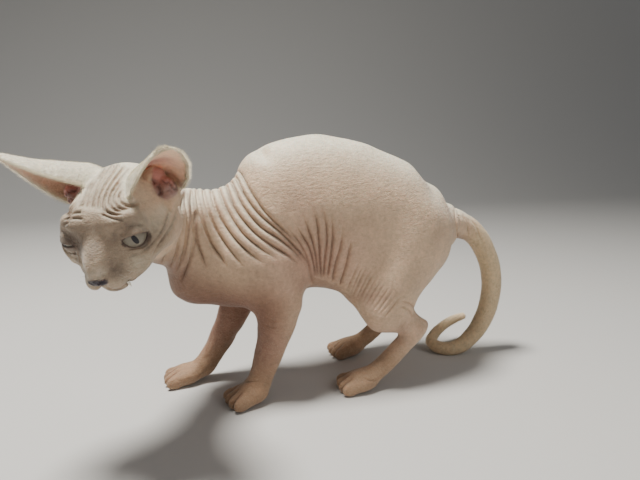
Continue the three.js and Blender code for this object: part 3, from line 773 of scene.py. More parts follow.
bodyFold, browFold = foldReading(places, smoothNormals)
skinSink = bodyFold * foldDepth["body"] + browFold * foldDepth["brow"] * (1 - onEar)
lineSink = np.zeros(len(places))
for depth, width, line in faceLines:
    lineSink += depth * lineMark(nearSide(inHead), line, width)
skinSink += lineSink
cornerPart = onMuzzle(inHead) * (sizeOf(inHead - [30, 0, -12]) < 22)
skinSink += foldDepth["mouthCorner"] * cornerPart * around(nearPicture(places), mouthCorner, (2.4, 2.6))
skinSink *= 1 - onEar
places = places - smoothNormals * skinSink[:, None]
print("folds carved")


def toeGaps(places):
    # between the toes: a groove on top and in front of each paw
    gaps = np.zeros(len(places))
    for paw, (centre, _) in paws.items():
        near = (sizeOf(places[:, :2] - centre[:2]) < 26) & (places[:, 2] < 18)
        q = places[near]
        value = np.zeros(len(q))
        for slot in (-1, 0, 1):
            a, angleA = toePlace(paw, slot - 0.5)
            b, angleB = toePlace(paw, slot + 0.5)
            ahead = heading((angleA + angleB) / 2)
            spot = q[:, :2] - (a + b)[:2] / 2
            value += np.exp(-np.abs(spot @ leftOf(ahead)[:2]) / 0.85) * smoothStep(-5, 1, spot @ ahead[:2])
        gaps[near] += value * smoothStep(0.4, 2.5, q[:, 2])
    return gaps


places = places - smoothNormals * (foldDepth["toes"] * toeGaps(places))[:, None]

# Grooves in the cup of the ear and lobes between them, near side read and far side mirrored
earPits = (
    (1.0, ((150, 173), (152, 180), (157, 185))),
    (1.0, ((156, 184), (160, 190), (159, 198))),
    (0.9, ((160, 179), (165, 182.5), (171, 181))),
    (0.9, ((171, 181), (173, 187), (180, 190))),
    (0.7, ((164, 193), (169, 190), (173, 194))),
)
earLobes = ((160, 193, 4.5), (168, 186, 4.0), (175, 193, 5.0), (181, 187, 3.5), (166, 197, 4))


def earFloor(places):
    # how far each point belongs to the flesh in the cups, and its picture place as on the near side
    head = intoHead(places)
    share = np.zeros(len(places))
    px = nearPicture(places)
    oval = np.hypot((px[:, 0] - 166.5) / 15.5, (px[:, 1] - 178) / 23)  # the near cup, in the picture
    for side in sideSigns:
        foot, rows = earTurn(side)
        along, across, out = ((head - foot) @ rows.T).T
        reach = np.hypot(across + 8.5, out + 2.5)
        if side == "left":
            mine = smoothStep(1.06, 0.84, oval) * (reach < 24) * (along > -14)
        else:
            mine = smoothStep(16.2, 14.5, reach) * smoothStep(-1, 2, along)
        share = np.maximum(share, mine * (along < 26))
    return share, px


cupShare, px = earFloor(places)
cupSink = foldDepth["earCup"] * cupShare * (1 - onEar) * foldField(px, earPits, 1.5, (0.2, 0.2))
places = places - smoothNormals * cupSink[:, None]

# Lids: the skin wraps the eyeball and opens in an almond; degrees about the eye, then millimetres
lidShape = {
    "towards": 38, "halfWide": 47, "innerEnd": 7, "outerEnd": -3,
    "above": {1: 13, -1: 2.5}, "below": {1: 30, -1: 1.5},  # flatter on top, and the far eye nearly closed
    "thick": 0.9, "swell": 0.25, "sunk": 1.4, "rimOut": 0.25, "rimRadius": 0.38,
}  # fmt: skip


def lidLines(share, sign):
    # the upper and lower edge of an opening, in degrees about the eye's centre
    inner, outer = lidShape["innerEnd"], lidShape["outerEnd"]
    line = (inner + outer) / 2 + (outer - inner) / 2 * share
    arch = np.maximum(1 - share**2, 0)
    return line + lidShape["above"][sign] * arch**0.8, line - lidShape["below"][sign] * arch**0.65


def lidReading(head, sign):
    # reach from the eye's centre, angle along the opening, how far inside the opening in mm, and the way out
    q = head * [1, sign, 1] - eyeCentre(1)
    radius = sizeOf(q)
    ahead = heading(math.radians(lidShape["towards"]))
    forward, across = q @ ahead, q @ leftOf(ahead)
    a = np.degrees(np.arctan2(across, forward))
    b = np.degrees(np.arctan2(q[:, 2], np.hypot(across, forward)))
    share = a / lidShape["halfWide"]
    top, bottom = lidLines(share, sign)
    inside = np.where(np.abs(share) < 1, np.minimum(top - b, b - bottom), -20)
    return radius, a, inside * math.pi / 180 * eyeShape["radius"], q / radius[:, None]


for sign in (1, -1):
    radius, a, inside, outward = lidReading(intoHead(places), sign)
    near = (radius < 13) & (np.abs(a) < 75)
    rim = near * np.exp(-(((inside + 0.9) / 0.8) ** 2))
    target = np.maximum(radius, eyeShape["radius"] + lidShape["thick"]) + lidShape["swell"] * rim
    target = np.where(near, target, radius)
    opened = smoothStep(-0.25, 0.35, inside) * near
    newRadius = target + (eyeShape["radius"] - lidShape["sunk"] - target) * opened
    places = places + (outward * (newRadius - radius)[:, None] * [1, sign, 1]) @ headTurn


def trianglesOf(mesh):
    return sum(len(p.vertices) - 2 for p in mesh.polygons)


setPlaces(skinMesh, insideBox(toScene(places)))
if trianglesOf(skinMesh) > skinShape["triangles"]:
    piece = newObject("skin", skinMesh)
    thin = piece.modifiers.new("thin", "DECIMATE")
    thin.ratio = skinShape["triangles"] / trianglesOf(skinMesh)
    skinMesh = applied(piece)
print("skin finished", len(skinMesh.vertices), trianglesOf(skinMesh))

# Markings, painted light and painted shade, as colours on the skin's points
places = toBody(placesOf(skinMesh))
normals = normalsOf(skinMesh)
ear = earReading(places)
onEar = smoothStep(3.2, 1.4, ear["away"]) * (ear["s"] > 0.03)
inHead = intoHead(places)
head = nearSide(inHead)
bodyFold, browFold = foldReading(places, normals)
# how deep each point lies in the folds, for painted shade in them
creaseShade = np.clip(np.maximum(bodyFold, browFold) * (1 - onEar), 0, 1)


def srgb(r, g, b):
    c = np.array([r, g, b]) / 255
    return np.where(c <= 0.04045, c / 12.92, ((c + 0.055) / 1.055) ** 2.4)


# Tones for the skin: its own colours, with dark tones for painted shade under the body, in its folds and in the
# ears, and bright ones for painted light through the ears and on the back
tones = {
    "flank": (209, 180, 151),
    "cream": (236, 228, 204),
    "blush": (192, 152, 132),
    "underShade": (104, 68, 56),
    "chestShade": (130, 90, 70),
    "creaseShade": (92, 56, 42),
    "browCreaseShade": (98, 82, 68),
    "feet": (160, 128, 98),
    "tail": (214, 188, 150),
    "mask": (150, 133, 114),
    "greyBrownAndShade": (96, 80, 70),
    "muzzle": (210, 194, 174),
    "nose": (58, 50, 58),
    "lidEdge": (62, 44, 40),
    "earBack": (222, 214, 192),
    "earInsideAndGlow": (255, 222, 190),
    "earCup": (198, 138, 128),
    "earShade": (88, 50, 46),
    "earLobe": (160, 128, 122),
    "earRim": (240, 232, 214),
}
colour = np.tile(srgb(*tones["flank"]), (len(places), 1))


def paint(tone, amount):
    amount = np.clip(amount, 0, 1)[:, None]
    colour[:] = colour * (1 - amount) + srgb(*tones[tone]) * amount


# Patches of the head, in its own frame, grey-brown markings and a paler muzzle, with painted shade round the
# far eye: tone, whether on both sides, centre, radii and amount
headMarksAndShade = (
    ("greyBrownAndShade", False, (27, -9, 10), (9, 9, 7), 0.55),
    ("greyBrownAndShade", True, (30, 6, 4), (7, 4.5, 6), 0.55),
    ("muzzle", False, (43, 0, -4), (5, 5, 4), 0.5),
    ("muzzle", True, (38, 8, -13), (9, 5, 4.5), 0.35),
    ("greyBrownAndShade", False, (34, 7, -8), (8, 4.5, 6), 0.6),
    ("greyBrownAndShade", False, (27, -15, 3), (9, 7, 7), 0.75),
    ("greyBrownAndShade", False, (26, 17, 12), (7, 9, 4), 0.4),
)
# and of the near side of the face, with the far eye's slit and the side of the bridge darkened as painted
# shade: tone, picture place, reach and amount
faceMarksAndShade = (
    ("greyBrownAndShade", 72, 240, 9, 7, 0.5), ("greyBrownAndShade", 67, 240, 3.5, 2.6, 0.6), ("greyBrownAndShade", 72, 243.5, 3.5, 2.6, 0.7),
    ("greyBrownAndShade", 77, 247, 3.5, 2.6, 0.7), ("greyBrownAndShade", 81, 250, 3, 2.4, 0.6), ("greyBrownAndShade", 94, 247, 8, 9, 0.5),
    ("greyBrownAndShade", 91, 257, 3, 5, 0.5), ("greyBrownAndShade", 115, 237, 5, 8, 0.5), ("greyBrownAndShade", 92, 228, 11, 5, 0.3),
    ("greyBrownAndShade", 111, 266, 4.5, 9, 0.4), ("greyBrownAndShade", 120, 272, 7, 6, 0.25), ("muzzle", 99, 272, 6, 5, 0.6),
    ("muzzle", 84, 263, 2.6, 9, 0.5), ("muzzle", 71, 261, 3.5, 8, 0.6), ("muzzle", 80, 271, 4, 6, 0.6),
    ("muzzle", 87, 278, 3.5, 4, 0.6), ("cream", 152, 222, 15, 13, 0.3), ("cream", 139, 262, 11, 9, 0.25),
    ("greyBrownAndShade", 128, 226, 14, 4, 0.25),
)  # fmt: skip
# and of the near side of the body: painted shade low on the chest, belly and legs, and a pinker blush
bodyMarksAndShade = (
    ("underShade", 402, 331, 7, 9, 0.4), ("underShade", 356, 297, 24, 6, 0.3), ("underShade", 306, 286, 8, 9, 0.35),
    ("underShade", 205, 292, 22, 10, 0.3), ("blush", 300, 205, 22, 20, 0.35), ("blush", 375, 300, 22, 16, 0.3),
)  # fmt: skip
x, z, up = places[:, 0], places[:, 2], normals[:, 2]
px = pixelsOf(places)
facing = dots(cameraSpot - places, normals)
headPart = headShare(inHead)
bodyPart = 1 - headPart
# painted light: upward-facing skin high on the body is made paler cream, as where light falls from above
paint("cream", smoothStep(0.25, 0.95, up) * smoothStep(60, 110, z) * 0.9)
# painted shade: the low chest under the head is darkened
paint("chestShade", smoothStep(108, 72, z) * smoothStep(-16, -58, x) * bodyPart * 0.95)
paint("blush", around(np.stack([x, z], 1), (-15, 105), (38, 26)) * bodyPart * 0.8)
# painted shade: dark under the head and on skin that faces down
paint("underShade", around(places, (-112, -14, 100), (26, 24, 22)) * 0.75 * bodyPart)
paint("underShade", smoothStep(-0.35, -0.95, up) * smoothStep(30, 60, z) * bodyPart * 0.55)
paint("blush", smoothStep(70, 45, z) * 0.3 * bodyPart)
paint("feet", smoothStep(46, 12, z) * 0.85 * (x < 105))
tailPart = smoothStep(126, 150, x) + smoothStep(104, 112, x) * smoothStep(60, 40, z)
paint("tail", tailPart)
paint("mask", headPart * smoothStep(2, 26, inHead[:, 0]) * 0.75 * (1 - onEar))
for tone, both, centre, radii, amount in headMarksAndShade:
    paint(tone, headPart * around(head if both else inHead, centre, radii) * amount)
for marksAndShade, part in ((faceMarksAndShade, headPart * (1 - onEar)), (bodyMarksAndShade, bodyPart)):
    shown = part * smoothStep(0, 60, facing)
    for tone, u, v, reachU, reachV, amount in marksAndShade:
        paint(tone, shown * around(px, (u, v), (reachU, reachV)) * amount)
noseSpot = sizeOf((head - [47.2, 0, -9.0]) / [4.0, 6.2, 3.3])
paint("nose", smoothStep(1.12, 0.92, noseSpot))
for _, width, line in faceLines[:2]:
    paint("lidEdge", lineMark(head, line, width * 1.1) * 0.85)
px = nearPicture(places)
mouthPart = onMuzzle(inHead) * headPart
paint("lidEdge", mouthPart * around(px, mouthCorner, (3.6, 2.4)) * 0.95)
paint("lidEdge", mouthPart * around(px, (121, 290), (7, 1.6)) * 0.7)
lidInside = np.full(len(places), -20.0)
for sign in (1, -1):
    radius, a, inside = lidReading(inHead, sign)[:3]
    near = (radius < 12.5) & (np.abs(a) < 72)
    lidInside = np.where(near, np.maximum(lidInside, inside), lidInside)
    # painted shade round each eye opening, darker towards it
    paint("greyBrownAndShade", near * smoothStep(-4, -0.8, inside) * 0.3)
    margin = smoothStep(-0.9, -0.3, inside) * smoothStep(1.2, 0.5, inside)
    paint("lidEdge", near * margin * 0.75 * (np.abs(a) < 52))
inCup = onEar * smoothStep(-0.1, 0.5, ear["inside"])
outCup = onEar * smoothStep(0.1, -0.5, ear["inside"])
paint("earBack", outCup)
# the inside of each ear: its own pink, made bright with painted light shining through it
paint("earInsideAndGlow", inCup)
paint("earCup", inCup * np.exp(-(((ear["s"] - 0.42) / 0.2) ** 2) - (ear["t"] / 0.55) ** 2))
# painted shade deep in the cup towards the foot, and over the whole inside of the far ear
paint("earShade", inCup * smoothStep(0.2, 0.08, ear["s"]) * 0.5)
paint("earShade", inCup * (ear["side"] < 0) * 0.35)
paint("earLobe", inCup * smoothStep(0.35, 0.75, -ear["t"]) * smoothStep(0.6, 0.2, ear["s"]) * 0.8)
cupShare = earFloor(places)[0] * ((1 - onEar) * smoothStep(-0.2, 0.2, facing / 300))
paint("earCup", cupShare * smoothStep(196, 182, px[:, 1]))
paint("earLobe", cupShare * smoothStep(178, 192, px[:, 1]) * 0.7)
for u, v, reach in earLobes:
    paint("earLobe", cupShare * around(px, (u, v), (reach, reach)))
# painted shade in the grooves of the cup
paint("earShade", cupShare * foldField(px, earPits, 1.8, (0.2, 0.2)) * 0.6)
rim = np.maximum(smoothStep(0.86, 0.97, np.abs(ear["t"])), smoothStep(0.93, 0.985, ear["s"]))
paint("earRim", onEar * rim * 0.85)
# painted shade: the skin is darkened in the folds and in the gaps between the toes
creaseShadeAmount = creaseShade ** (1.5 - 0.6 * headPart)
paint("creaseShade", creaseShadeAmount * 0.75 * bodyPart)
paint("browCreaseShade", creaseShadeAmount * 0.85 * headPart)
paint("creaseShade", toeGaps(places) * 0.7)


def pointColours(mesh, name, values):
    layer = mesh.color_attributes.new(name, "FLOAT_COLOR", "POINT")
    full = np.ones((len(mesh.vertices), 4), np.float32)
    full[:, :3] = values
    layer.data.foreach_set("color", full.ravel())


def pointValues(mesh, name, values):
    layer = mesh.attributes.new(name, "FLOAT", "POINT")
    layer.data.foreach_set("value", np.asarray(values, np.float32))


# the skin's colours, painted light and shade included, go to the shader
pointColours(skinMesh, "markings", colour)
pointValues(skinMesh, "noseLeather", smoothStep(1.1, 0.95, noseSpot))
pointValues(skinMesh, "downy", np.clip(np.maximum(tailPart, outCup), 0, 1))
print("markings painted")


# Shader expressions
class Term:
    def __init__(self, tree, socket):
        self.tree = tree
        self.socket = socket

    def maths(self, operation, *others):
        return makeNode(self.tree, "ShaderNodeMath", {"operation": operation}, [self, *others])

    def __add__(self, other):
        return self.maths("ADD", other)

    __radd__ = __add__

    def __mul__(self, other):
        return self.maths("MULTIPLY", other)

    __rmul__ = __mul__

    def __sub__(self, other):
        return self.maths("SUBTRACT", other)

    def __rsub__(self, other):
        return makeNode(self.tree, "ShaderNodeMath", {"operation": "SUBTRACT"}, [other, self])

    def __truediv__(self, other):
        return self.maths("DIVIDE", other)

    def __pow__(self, other):
        return self.maths("POWER", other)

    def between(self, low, high):
        settings = {"interpolation_type": "SMOOTHSTEP", "clamp": True}
        inputs = {"Value": self, "From Min": low, "From Max": high}
        return makeNode(self.tree, "ShaderNodeMapRange", settings, inputs)


def plug(tree, socket, value):
    if isinstance(value, Term):
        tree.links.new(value.socket, socket)
    else:
        socket.default_value = value


def makeNode(tree, kind, settings, inputs, output=0):
    node = tree.nodes.new(kind)
    for name, value in settings.items():
        if name == "stops":
            ramp = node.color_ramp
            while len(ramp.elements) < len(value):
                ramp.elements.new(0.5)
            for element, (position, shade) in zip(ramp.elements, value):
                element.position = position
                element.color = (*shade, 1)
        else:
            setattr(node, name, value)
    pairs = inputs.items() if isinstance(inputs, dict) else enumerate(inputs)
    for key, value in pairs:
        plug(tree, node.inputs[key], value)
    return Term(tree, node.outputs[output])


def mixColours(tree, amount, a, b, blend="MIX"):
    a, b = (shade if isinstance(shade, Term) else (*shade, 1) for shade in (a, b))
    settings = {"data_type": "RGBA", "blend_type": blend}
    return makeNode(tree, "ShaderNodeMix", settings, {"Factor": amount, 6: a, 7: b}, 2)


def newMaterial(name, constants):
    material = bpy.data.materials.new(name)
    material.use_nodes = True
    shader = material.node_tree.nodes["Principled BSDF"]
    for key, value in constants.items():
        shader.inputs[key].default_value = value
    return material, material.node_tree, shader


def objectPlaces(tree):
    return makeNode(tree, "ShaderNodeTexCoord", {}, {}, "Object")


def attributeOf(tree, name, output="Fac"):
    return makeNode(tree, "ShaderNodeAttribute", {"attribute_name": name}, {}, output)


def noiseOf(tree, coordinates, scale, detail=3.0, roughness=0.55, stretch=None):
    if stretch:
        coordinates = makeNode(tree, "ShaderNodeMapping", {}, {"Vector": coordinates, "Scale": stretch})
    inputs = {"Vector": coordinates, "Scale": scale, "Detail": detail, "Roughness": roughness}
    return makeNode(tree, "ShaderNodeTexNoise", {}, inputs)


def cellsOf(tree, coordinates, feature, scale):
    return makeNode(tree, "ShaderNodeTexVoronoi", {"feature": feature}, {"Vector": coordinates, "Scale": scale})


skinLook = {
    "Subsurface Weight": 0.14, "Subsurface Radius": (1.0, 0.35, 0.2), "Subsurface Scale": 0.004,
    "Roughness": 0.55, "Sheen Weight": 0.22, "Sheen Roughness": 0.45, "IOR": 1.4,
}  # fmt: skip


def skinMaterial():
    material, tree, shader = newMaterial("wrinkledSkin", skinLook)
    spot = objectPlaces(tree)
    marksAndShade = attributeOf(tree, "markings", "Color")
    nose = attributeOf(tree, "noseLeather")
    downy = attributeOf(tree, "downy")
    blotch = noiseOf(tree, spot, 55, 4)
    fine = noiseOf(tree, spot, 420, 3)
    grain = cellsOf(tree, spot, "F1", 1100)
    pores = cellsOf(tree, spot, "DISTANCE_TO_EDGE", 650)
    speck = noiseOf(tree, spot, 1500, 2)
    mottle = noiseOf(tree, spot, 190, 3, 0.6)
    shade = (blotch - 0.5) * 0.45 + 0.97 + (mottle - 0.5) * 0.35
    shade = shade + (fine - 0.5) * (downy * 0.4 + 0.5) + (speck - 0.5) * 0.3
    grey = makeNode(tree, "ShaderNodeCombineColor", {}, [shade, shade, shade])
    plug(tree, shader.inputs["Base Color"], mixColours(tree, 1.0, marksAndShade, grey, "MULTIPLY"))
    plug(tree, shader.inputs["Roughness"], 0.6 - nose * 0.22 + (fine - 0.5) * 0.15)
    fuzz = noiseOf(tree, spot, 620, 3, 0.65, (0.4, 1, 0.8))
    wrinkle = noiseOf(tree, spot, 150, 2, 0.45, (1, 1, 3.2))
    height = fine * 0.7 + grain * 0.3 + fuzz * 1.2 + wrinkle * 0.9 + pores.between(0, 0.12) * (0.2 + nose * 0.9)
    bump = makeNode(tree, "ShaderNodeBump", {}, {"Strength": 0.55, "Distance": 0.0009, "Height": height})
    plug(tree, shader.inputs["Normal"], bump)
    return material


skin = finished("skin", skinMesh, skinMaterial())
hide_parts(*fleshNodes)

# Eyes: a ball with a clear bulge in front, pale grey-green round a leaning dark pupil
eyeLook = {
    "gaze": (33, 2), "iris": 7.2, "pupil": (1.35, 3.1), "lean": 14, "bulge": 0.9, "inset": 0.985,
    # iris tones: its own grey-green, darkened with painted shade from the upper lid
    "stops": ((0.0, (74, 69, 60)), (0.5, (122, 115, 102)), (1.0, (156, 147, 132))),
    "rim": (72, 66, 58), "dark": (14, 13, 22), "margin": (128, 92, 80),
}  # fmt: skip
eyeGloss = {
    "Roughness": 0.12, "Specular IOR Level": 0.35, "Coat Weight": 0.2, "Coat Roughness": 0.03, "IOR": 1.38,
}  # fmt: skip


def eyeGaze(sign):
    side, up = (math.radians(v) for v in eyeLook["gaze"])
    ahead = np.array([math.cos(up) * math.cos(side), math.cos(up) * math.sin(side), math.sin(up)])
    across = unit(np.cross([0, 0, 1], ahead))
    return [v * [1, sign, 1] for v in (ahead, across, np.cross(ahead, across))]


def eyeMaterial(name, sign):
    material, tree, shader = newMaterial(name, eyeGloss)
    across, upward = (v @ headTurn for v in eyeGaze(sign)[1:])
    lean = math.radians(eyeLook["lean"]) * sign
    leant = across * math.cos(lean) + upward * math.sin(lean), upward * math.cos(lean) - across * math.sin(lean)
    centre = tuple(toScene(outOfHead(eyeCentre(sign))))
    local = makeNode(tree, "ShaderNodeVectorMath", {"operation": "SUBTRACT"}, [objectPlaces(tree), centre])
    dot = {"operation": "DOT_PRODUCT"}
    u, v = (makeNode(tree, "ShaderNodeVectorMath", dot, [local, tuple(w * perMetre)], "Value") for w in leant)
    reach = (u * u + v * v).maths("SQRT")
    spokes = makeNode(tree, "ShaderNodeCombineXYZ", {}, [v.maths("ARCTAN2", u) * 5, reach * 0.35, 0.0])
    fibres = noiseOf(tree, spokes, 3.2, 4, 0.6) * 0.9 + 0.1
    stops = [(position, srgb(*shade)) for position, shade in eyeLook["stops"]]
    iris = makeNode(tree, "ShaderNodeValToRGB", {"stops": stops}, [fibres])
    wide, high = eyeLook["pupil"]
    pupilReach = ((u / wide) ** 2 + (v / high) ** 2).maths("SQRT")
    edge = eyeLook["iris"]
    shade = mixColours(tree, reach.between(edge - 1.1, edge), iris, srgb(*eyeLook["rim"]))
    shade = mixColours(tree, 1 - pupilReach.between(0.86, 1.08), shade, srgb(*eyeLook["dark"]))
    shade = mixColours(tree, reach.between(edge + 0.2, edge + 1.2), shade, srgb(*eyeLook["margin"]))
    plug(tree, shader.inputs["Base Color"], shade)
    return material


for side, sign in sideSigns.items():
    ball = bmesh.new()
    bmesh.ops.create_icosphere(ball, subdivisions=5, radius=eyeShape["radius"])
    ahead = eyeGaze(sign)[0]
    for vert in ball.verts:
        lift = smoothStep(0.62, 0.95, np.array(vert.co.normalized()) @ ahead)
        vert.co *= 1 + eyeLook["bulge"] * lift / eyeShape["radius"]
        vert.co = toScene(outOfHead(np.array(vert.co) * eyeLook["inset"] + eyeCentre(sign)))
    name = f"eye_{side}_ball"
    piece = finished(name, meshFrom(name, ball), eyeMaterial(name, sign))
    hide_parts(f"eye_{side}")
print("eyes made")


def lidRim(sign, count=25):
    # the course of a lid's margin: along the upper edge of the opening and back along the lower one
    share = np.concatenate([np.linspace(-1, 1, count), np.linspace(1, -1, count)[1:-1]])
    upper, lower = lidLines(share, sign)
    b = np.radians(np.where(np.arange(len(share)) < count, upper, lower))
    a = np.radians(share * lidShape["halfWide"] + lidShape["towards"])
    ray = np.stack([np.cos(b) * np.cos(a), np.cos(b) * np.sin(a), np.sin(b)], 1)
    return outOfHead((ray * (eyeShape["radius"] + lidShape["rimOut"]) + eyeCentre(1)) * [1, sign, 1])


def plainMaterial(name, dark, light, scale, constants):
    material, tree, shader = newMaterial(name, constants)
    mottle = noiseOf(tree, objectPlaces(tree), scale)
    plug(tree, shader.inputs["Base Color"], mixColours(tree, mottle, srgb(*dark), srgb(*light)))
    return material


# Lid margins: a dark moist rim round each opening
rimMaterial = plainMaterial("lidEdge", (44, 32, 32), (84, 62, 56), 500, {"Roughness": 0.32, "IOR": 1.4})
for side, sign in sideSigns.items():
    name = f"lid_rim_{side}"
    finished(name, closedTube(name, lidRim(sign), lidShape["rimRadius"]), rimMaterial)


def spike(name, places, radii, material):
    mesh = tubeAlong(name, places, radii, 8, 5)
    setPlaces(mesh, insideBox(placesOf(mesh)))
    finished(name, mesh, material)


# Claws, one before each toe and drawn in under it: the root's reach from the toe, then the claw's own sizes
clawLook = {"root": 5.0, "length": 3.0, "radii": (0.75, 0.525, 0.12), "rise": 0.6, "drop": 2.4, "arch": 1.0}
horn = plainMaterial("claw", (110, 88, 70), (170, 146, 120), 300, {"Roughness": 0.35, "IOR": 1.45})
for paw in paws:
    for k, slot in enumerate(toeShape["slots"]):
        place, angle = toePlace(paw, slot)
        root = place + heading(angle) * clawLook["root"] + [0, 0, clawLook["rise"]]
        tip = root + heading(angle) * clawLook["length"] - [0, 0, clawLook["drop"]]
        bend = (root + tip) / 2 + [0, 0, clawLook["arch"]]
        spike(f"claw_{paw}_{k + 1}", (root, bend, tip), clawLook["radii"], horn)
toothLook = {"root": (34.5, 8.4, -18.2), "tip": (34.8, 9.2, -21.8), "radii": (0.9, 0.7, 0.15)}
tooth = plainMaterial("tooth", (214, 206, 188), (236, 230, 216), 200, {"Roughness": 0.25, "IOR": 1.5})
for side, sign in sideSigns.items():
    root, tip = (outOfHead(np.array(toothLook[end]) * [1, sign, 1]) for end in ("root", "tip"))
    spike(f"tooth_{side}", (root, (root + tip) / 2, tip), toothLook["radii"], tooth)

# Whiskers, short and bent as this breed's are, and a tuft at the near ear's tip
whiskerLook = {
    "rows": ((-9.5, 2.5), (-12, 3.5)), "radii": (0.055, 0.055, 0.03),
    "tuft": 7, "tuftLengths": (2.6, 5.4), "tuftRadii": (0.06, 0.05, 0.02),
}  # fmt: skip
hair = plainMaterial("whiskers", (196, 188, 172), (236, 230, 218), 400, {"Roughness": 0.4})
whiskers = bmesh.new()
for sign in (1, -1):
    for height, reach in whiskerLook["rows"]:
        for k in range(2):  # the second further back
            root = np.array([39.5 - 4 * k, 8.2 + 1.2 * k, height])
            away = unit([0.15 - 0.25 * k, 1, 0.25 - 0.2 * k + random.uniform(-0.2, 0.2)])
            far = reach + random.uniform(0, 3)
            middle = root + away * far * 0.5 + np.array([0.6, 0, random.uniform(-0.8, 0.8)])
            line = np.array([root, middle, root + away * far + [0, 0, random.uniform(-2, 1)]])
            tube = tubeAlong("whisker", outOfHead(line * [1, sign, 1]), whiskerLook["radii"], 4, 5)
            addCopy(whiskers, tube, merge=False)
for k in range(whiskerLook["tuft"]):
    root = earPlaces("left", np.array([0.95]), np.array([random.uniform(-0.7, 0.1)]), 0)[0]
    away = (earAxes("left")[1] + random.normal(0, 0.16, 3)) @ headTurn
    near, far = whiskerLook["tuftLengths"]
    line = np.array([root, root + away * near, root + away * far + random.normal(0, 0.5, 3)])
    addCopy(whiskers, tubeAlong("tuft", line, whiskerLook["tuftRadii"], 4, 5), merge=False)
mesh = meshFrom("whiskers", whiskers)
setPlaces(mesh, insideBox(placesOf(mesh)))
finished("whiskers", mesh, hair, smooth=False)
print("claws, teeth and whiskers made")

# Down: short hairs that follow the lie of the coat, thickest on the ears' backs and rims and on the tail
downLook = {"hairs": 150000, "wide": 0.13, "sunk": 0.08, "patch": 0.003}


def boxUnwrap(points, normals, border=0.03):
    # an unwrap of the skin's own shape in six flat sheets, by the way the skin faces
    low, high = toBody(np.array(cadBox[0])), toBody(np.array(cadBox[1]))
    share = np.clip((points - low) / (high - low), 0, 1)
    facing = np.argmax(np.abs(normals), axis=1)
    positive = normals[np.arange(len(normals)), facing] > 0
    across = border + (1 - 2 * border) * np.where(facing == 0, share[:, 1], share[:, 0])
    upward = border + (1 - 2 * border) * np.where(facing == 2, share[:, 1], share[:, 2])
    return np.stack([(facing + across) / 3, (positive + upward) / 2], 1)


skinMesh.calc_loop_triangles()
corners = readOut(skinMesh.loop_triangles, "vertices", 3, np.int32)
a, b, c = (places[corners[:, k]] for k in range(3))
area = sizeOf(np.cross(b - a, c - a))
rim = onEar * np.maximum(smoothStep(0.88, 0.98, np.abs(ear["t"])), smoothStep(0.92, 0.98, ear["s"]))
thick = 0.35 + 0.5 * smoothStep(80, 40, places[:, 2]) + 0.5 * headPart + 1.6 * outCup + 9 * rim
thick = thick + 2.2 * np.clip(tailPart, 0, 1) - 0.2 * inCup * (1 - rim)
thick = np.where(noseSpot < 1.2, 0, thick) * (lidInside < -1.5) * (places[:, 2] > 0.8)
chance = area * thick[corners].mean(1)
chosen = corners[random.choice(len(corners), size=downLook["hairs"], p=chance / chance.sum())]
u, v = random.random((2, downLook["hairs"]))
u, v = np.where(u + v > 1, 1 - u, u), np.where(u + v > 1, 1 - v, v)
weights = np.stack([1 - u - v, u, v], 1)[:, :, None]


def atRoots(values):
    # a value of the skin's points, read at the hairs' roots
    return (values.reshape(len(values), -1)[chosen] * weights).sum(1)


root = atRoots(places)
out = unitRows(atRoots(normals))
rimHere = atRoots(rim)[:, 0]
downyHere = atRoots(np.clip(outCup + tailPart, 0, 1))[:, 0]
lie = np.tile([0.85, 0.0, -0.5], (len(root), 1))  # backwards and down, as the coat lies
lie[sizeOf(intoHead(root) - [8, 0, 0]) < 44] = np.array([-0.9, 0, 0.4]) @ headTurn  # back over the head
for side, sign in sideSigns.items():
    here = (ear["away"][chosen[:, 0]] < 3) & (ear["side"][chosen[:, 0]] == sign)
    lie[here] = earAxes(side)[1] @ headTurn
onTail = root[:, 0] > 128
nearest = np.argmin(np.linalg.norm(root[:, None] - tailPlaces, axis=2), axis=1)
lie[onTail] = unitRows(np.gradient(tailPlaces, axis=0))[nearest[onTail]]
lie += random.normal(0, 0.22, lie.shape)
lie = unitRows(lie - out * dots(lie, out)[:, None])
stand = (0.25 + 0.45 * rimHere + 0.15 * downyHere)[:, None]
long = 0.75 + 0.7 * downyHere + 1.2 * rimHere + 0.5 * smoothStep(80, 40, root[:, 2])
long = (long * random.uniform(0.6, 1.3, len(root)))[:, None]
way = lie * np.cos(stand) + out * np.sin(stand)
half = unitRows(np.cross(way, out)) * downLook["wide"] / 2
root = root - out * downLook["sunk"]
hairPlaces = np.stack([root - half, root + half, root + way * long], 1).reshape(-1, 3)
mesh = bpy.data.meshes.new("down")
mesh.from_pydata(insideBox(toScene(hairPlaces)), [], np.arange(len(hairPlaces)).reshape(-1, 3))
patch = np.array([[-0.5, -0.5], [0.5, -0.5], [0, 0.5]]) * downLook["patch"]
unwrap = boxUnwrap(root, out)[:, None] + patch[None]
mesh.uv_layers.new(name="OFBake").data.foreach_set("uv", unwrap.astype(np.float32).ravel())
# the hairs take the skin's colour, with its painted light and shade, paled towards cream
tone = srgb(*tones["cream"]) * 0.4 + colour[chosen[:, 0]] * 0.6
pointColours(mesh, "markings", np.repeat(tone, 3, axis=0))
material, tree, shader = newMaterial("down", {"Roughness": 0.7, "Sheen Weight": 0.3, "Specular IOR Level": 0.2})
plug(tree, shader.inputs["Base Color"], attributeOf(tree, "markings", "Color"))
finished("down", mesh, material, smooth=False)
print("down grown", len(root))

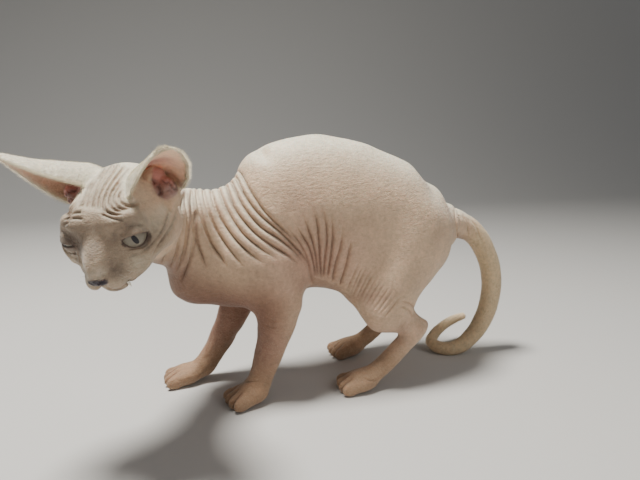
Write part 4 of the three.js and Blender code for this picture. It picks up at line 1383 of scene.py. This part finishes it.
# Floor, backdrop and light: a strip is swept back, up through a bend and on as a wall
stageShape = {"near": -2.5, "back": 1.2, "bend": 0.9, "wide": 3.5, "high": 2.5}


def swept(shape, edges, way):
    # draws edges out into faces and gives the new edges
    parts = bmesh.ops.extrude_edge_only(shape, edges=edges)["geom"]
    bmesh.ops.translate(shape, verts=[g for g in parts if isinstance(g, bmesh.types.BMVert)], vec=way)
    return [g for g in parts if isinstance(g, bmesh.types.BMEdge)]


wide, near, back, high = (stageShape[k] for k in ("wide", "near", "back", "high"))
floor = bmesh.new()
floor.edges.new([floor.verts.new((-wide, near, 0)), floor.verts.new((wide, near, 0))])
edges = swept(floor, floor.edges[:], (0, back - near, 0))
lastEdge = [edge for edge in edges if all(abs(v.co.y - back) < 1e-6 for v in edge.verts)]
centre = (0, back, stageShape["bend"])
bend = bmesh.ops.spin(floor, geom=lastEdge, cent=centre, axis=(1, 0, 0), angle=math.pi / 2, steps=16)
swept(floor, [g for g in bend["geom_last"] if isinstance(g, bmesh.types.BMEdge)], (0, 0, high))
for face in floor.faces:
    face.smooth = True
mesh = meshFrom("floor", floor)
mesh.materials.append(newMaterial("paleFloor", {"Base Color": (0.55, 0.54, 0.52, 1), "Roughness": 0.85})[0])
newObject("floor", mesh)

world = bpy.data.worlds.new("studio")
bpy.context.scene.world = world
world.use_nodes = True
background = world.node_tree.nodes["Background"]
background.inputs["Color"].default_value = (0.80, 0.82, 0.85, 1)
background.inputs["Strength"].default_value = 0.22


def softLight(name, place, size, power, shade):
    data = bpy.data.lights.new(name, "AREA")
    data.shape = "DISK"
    data.size = size
    data.energy = power
    data.color = shade
    light = bpy.data.objects.new(name, data)
    light.location = place
    aim = Vector((-0.02, 0, 0.09)) - Vector(place)
    light.rotation_euler = aim.to_track_quat("-Z", "Y").to_euler()
    bpy.context.scene.collection.objects.link(light)


softLight("keyLight", (-0.3, 0.05, 1.2), 0.3, 29, (1, 0.975, 0.92))
softLight("fillLight", (0.6, -1.0, 0.8), 0.8, 3.2, (1, 0.96, 0.92))
print("stage and light set")
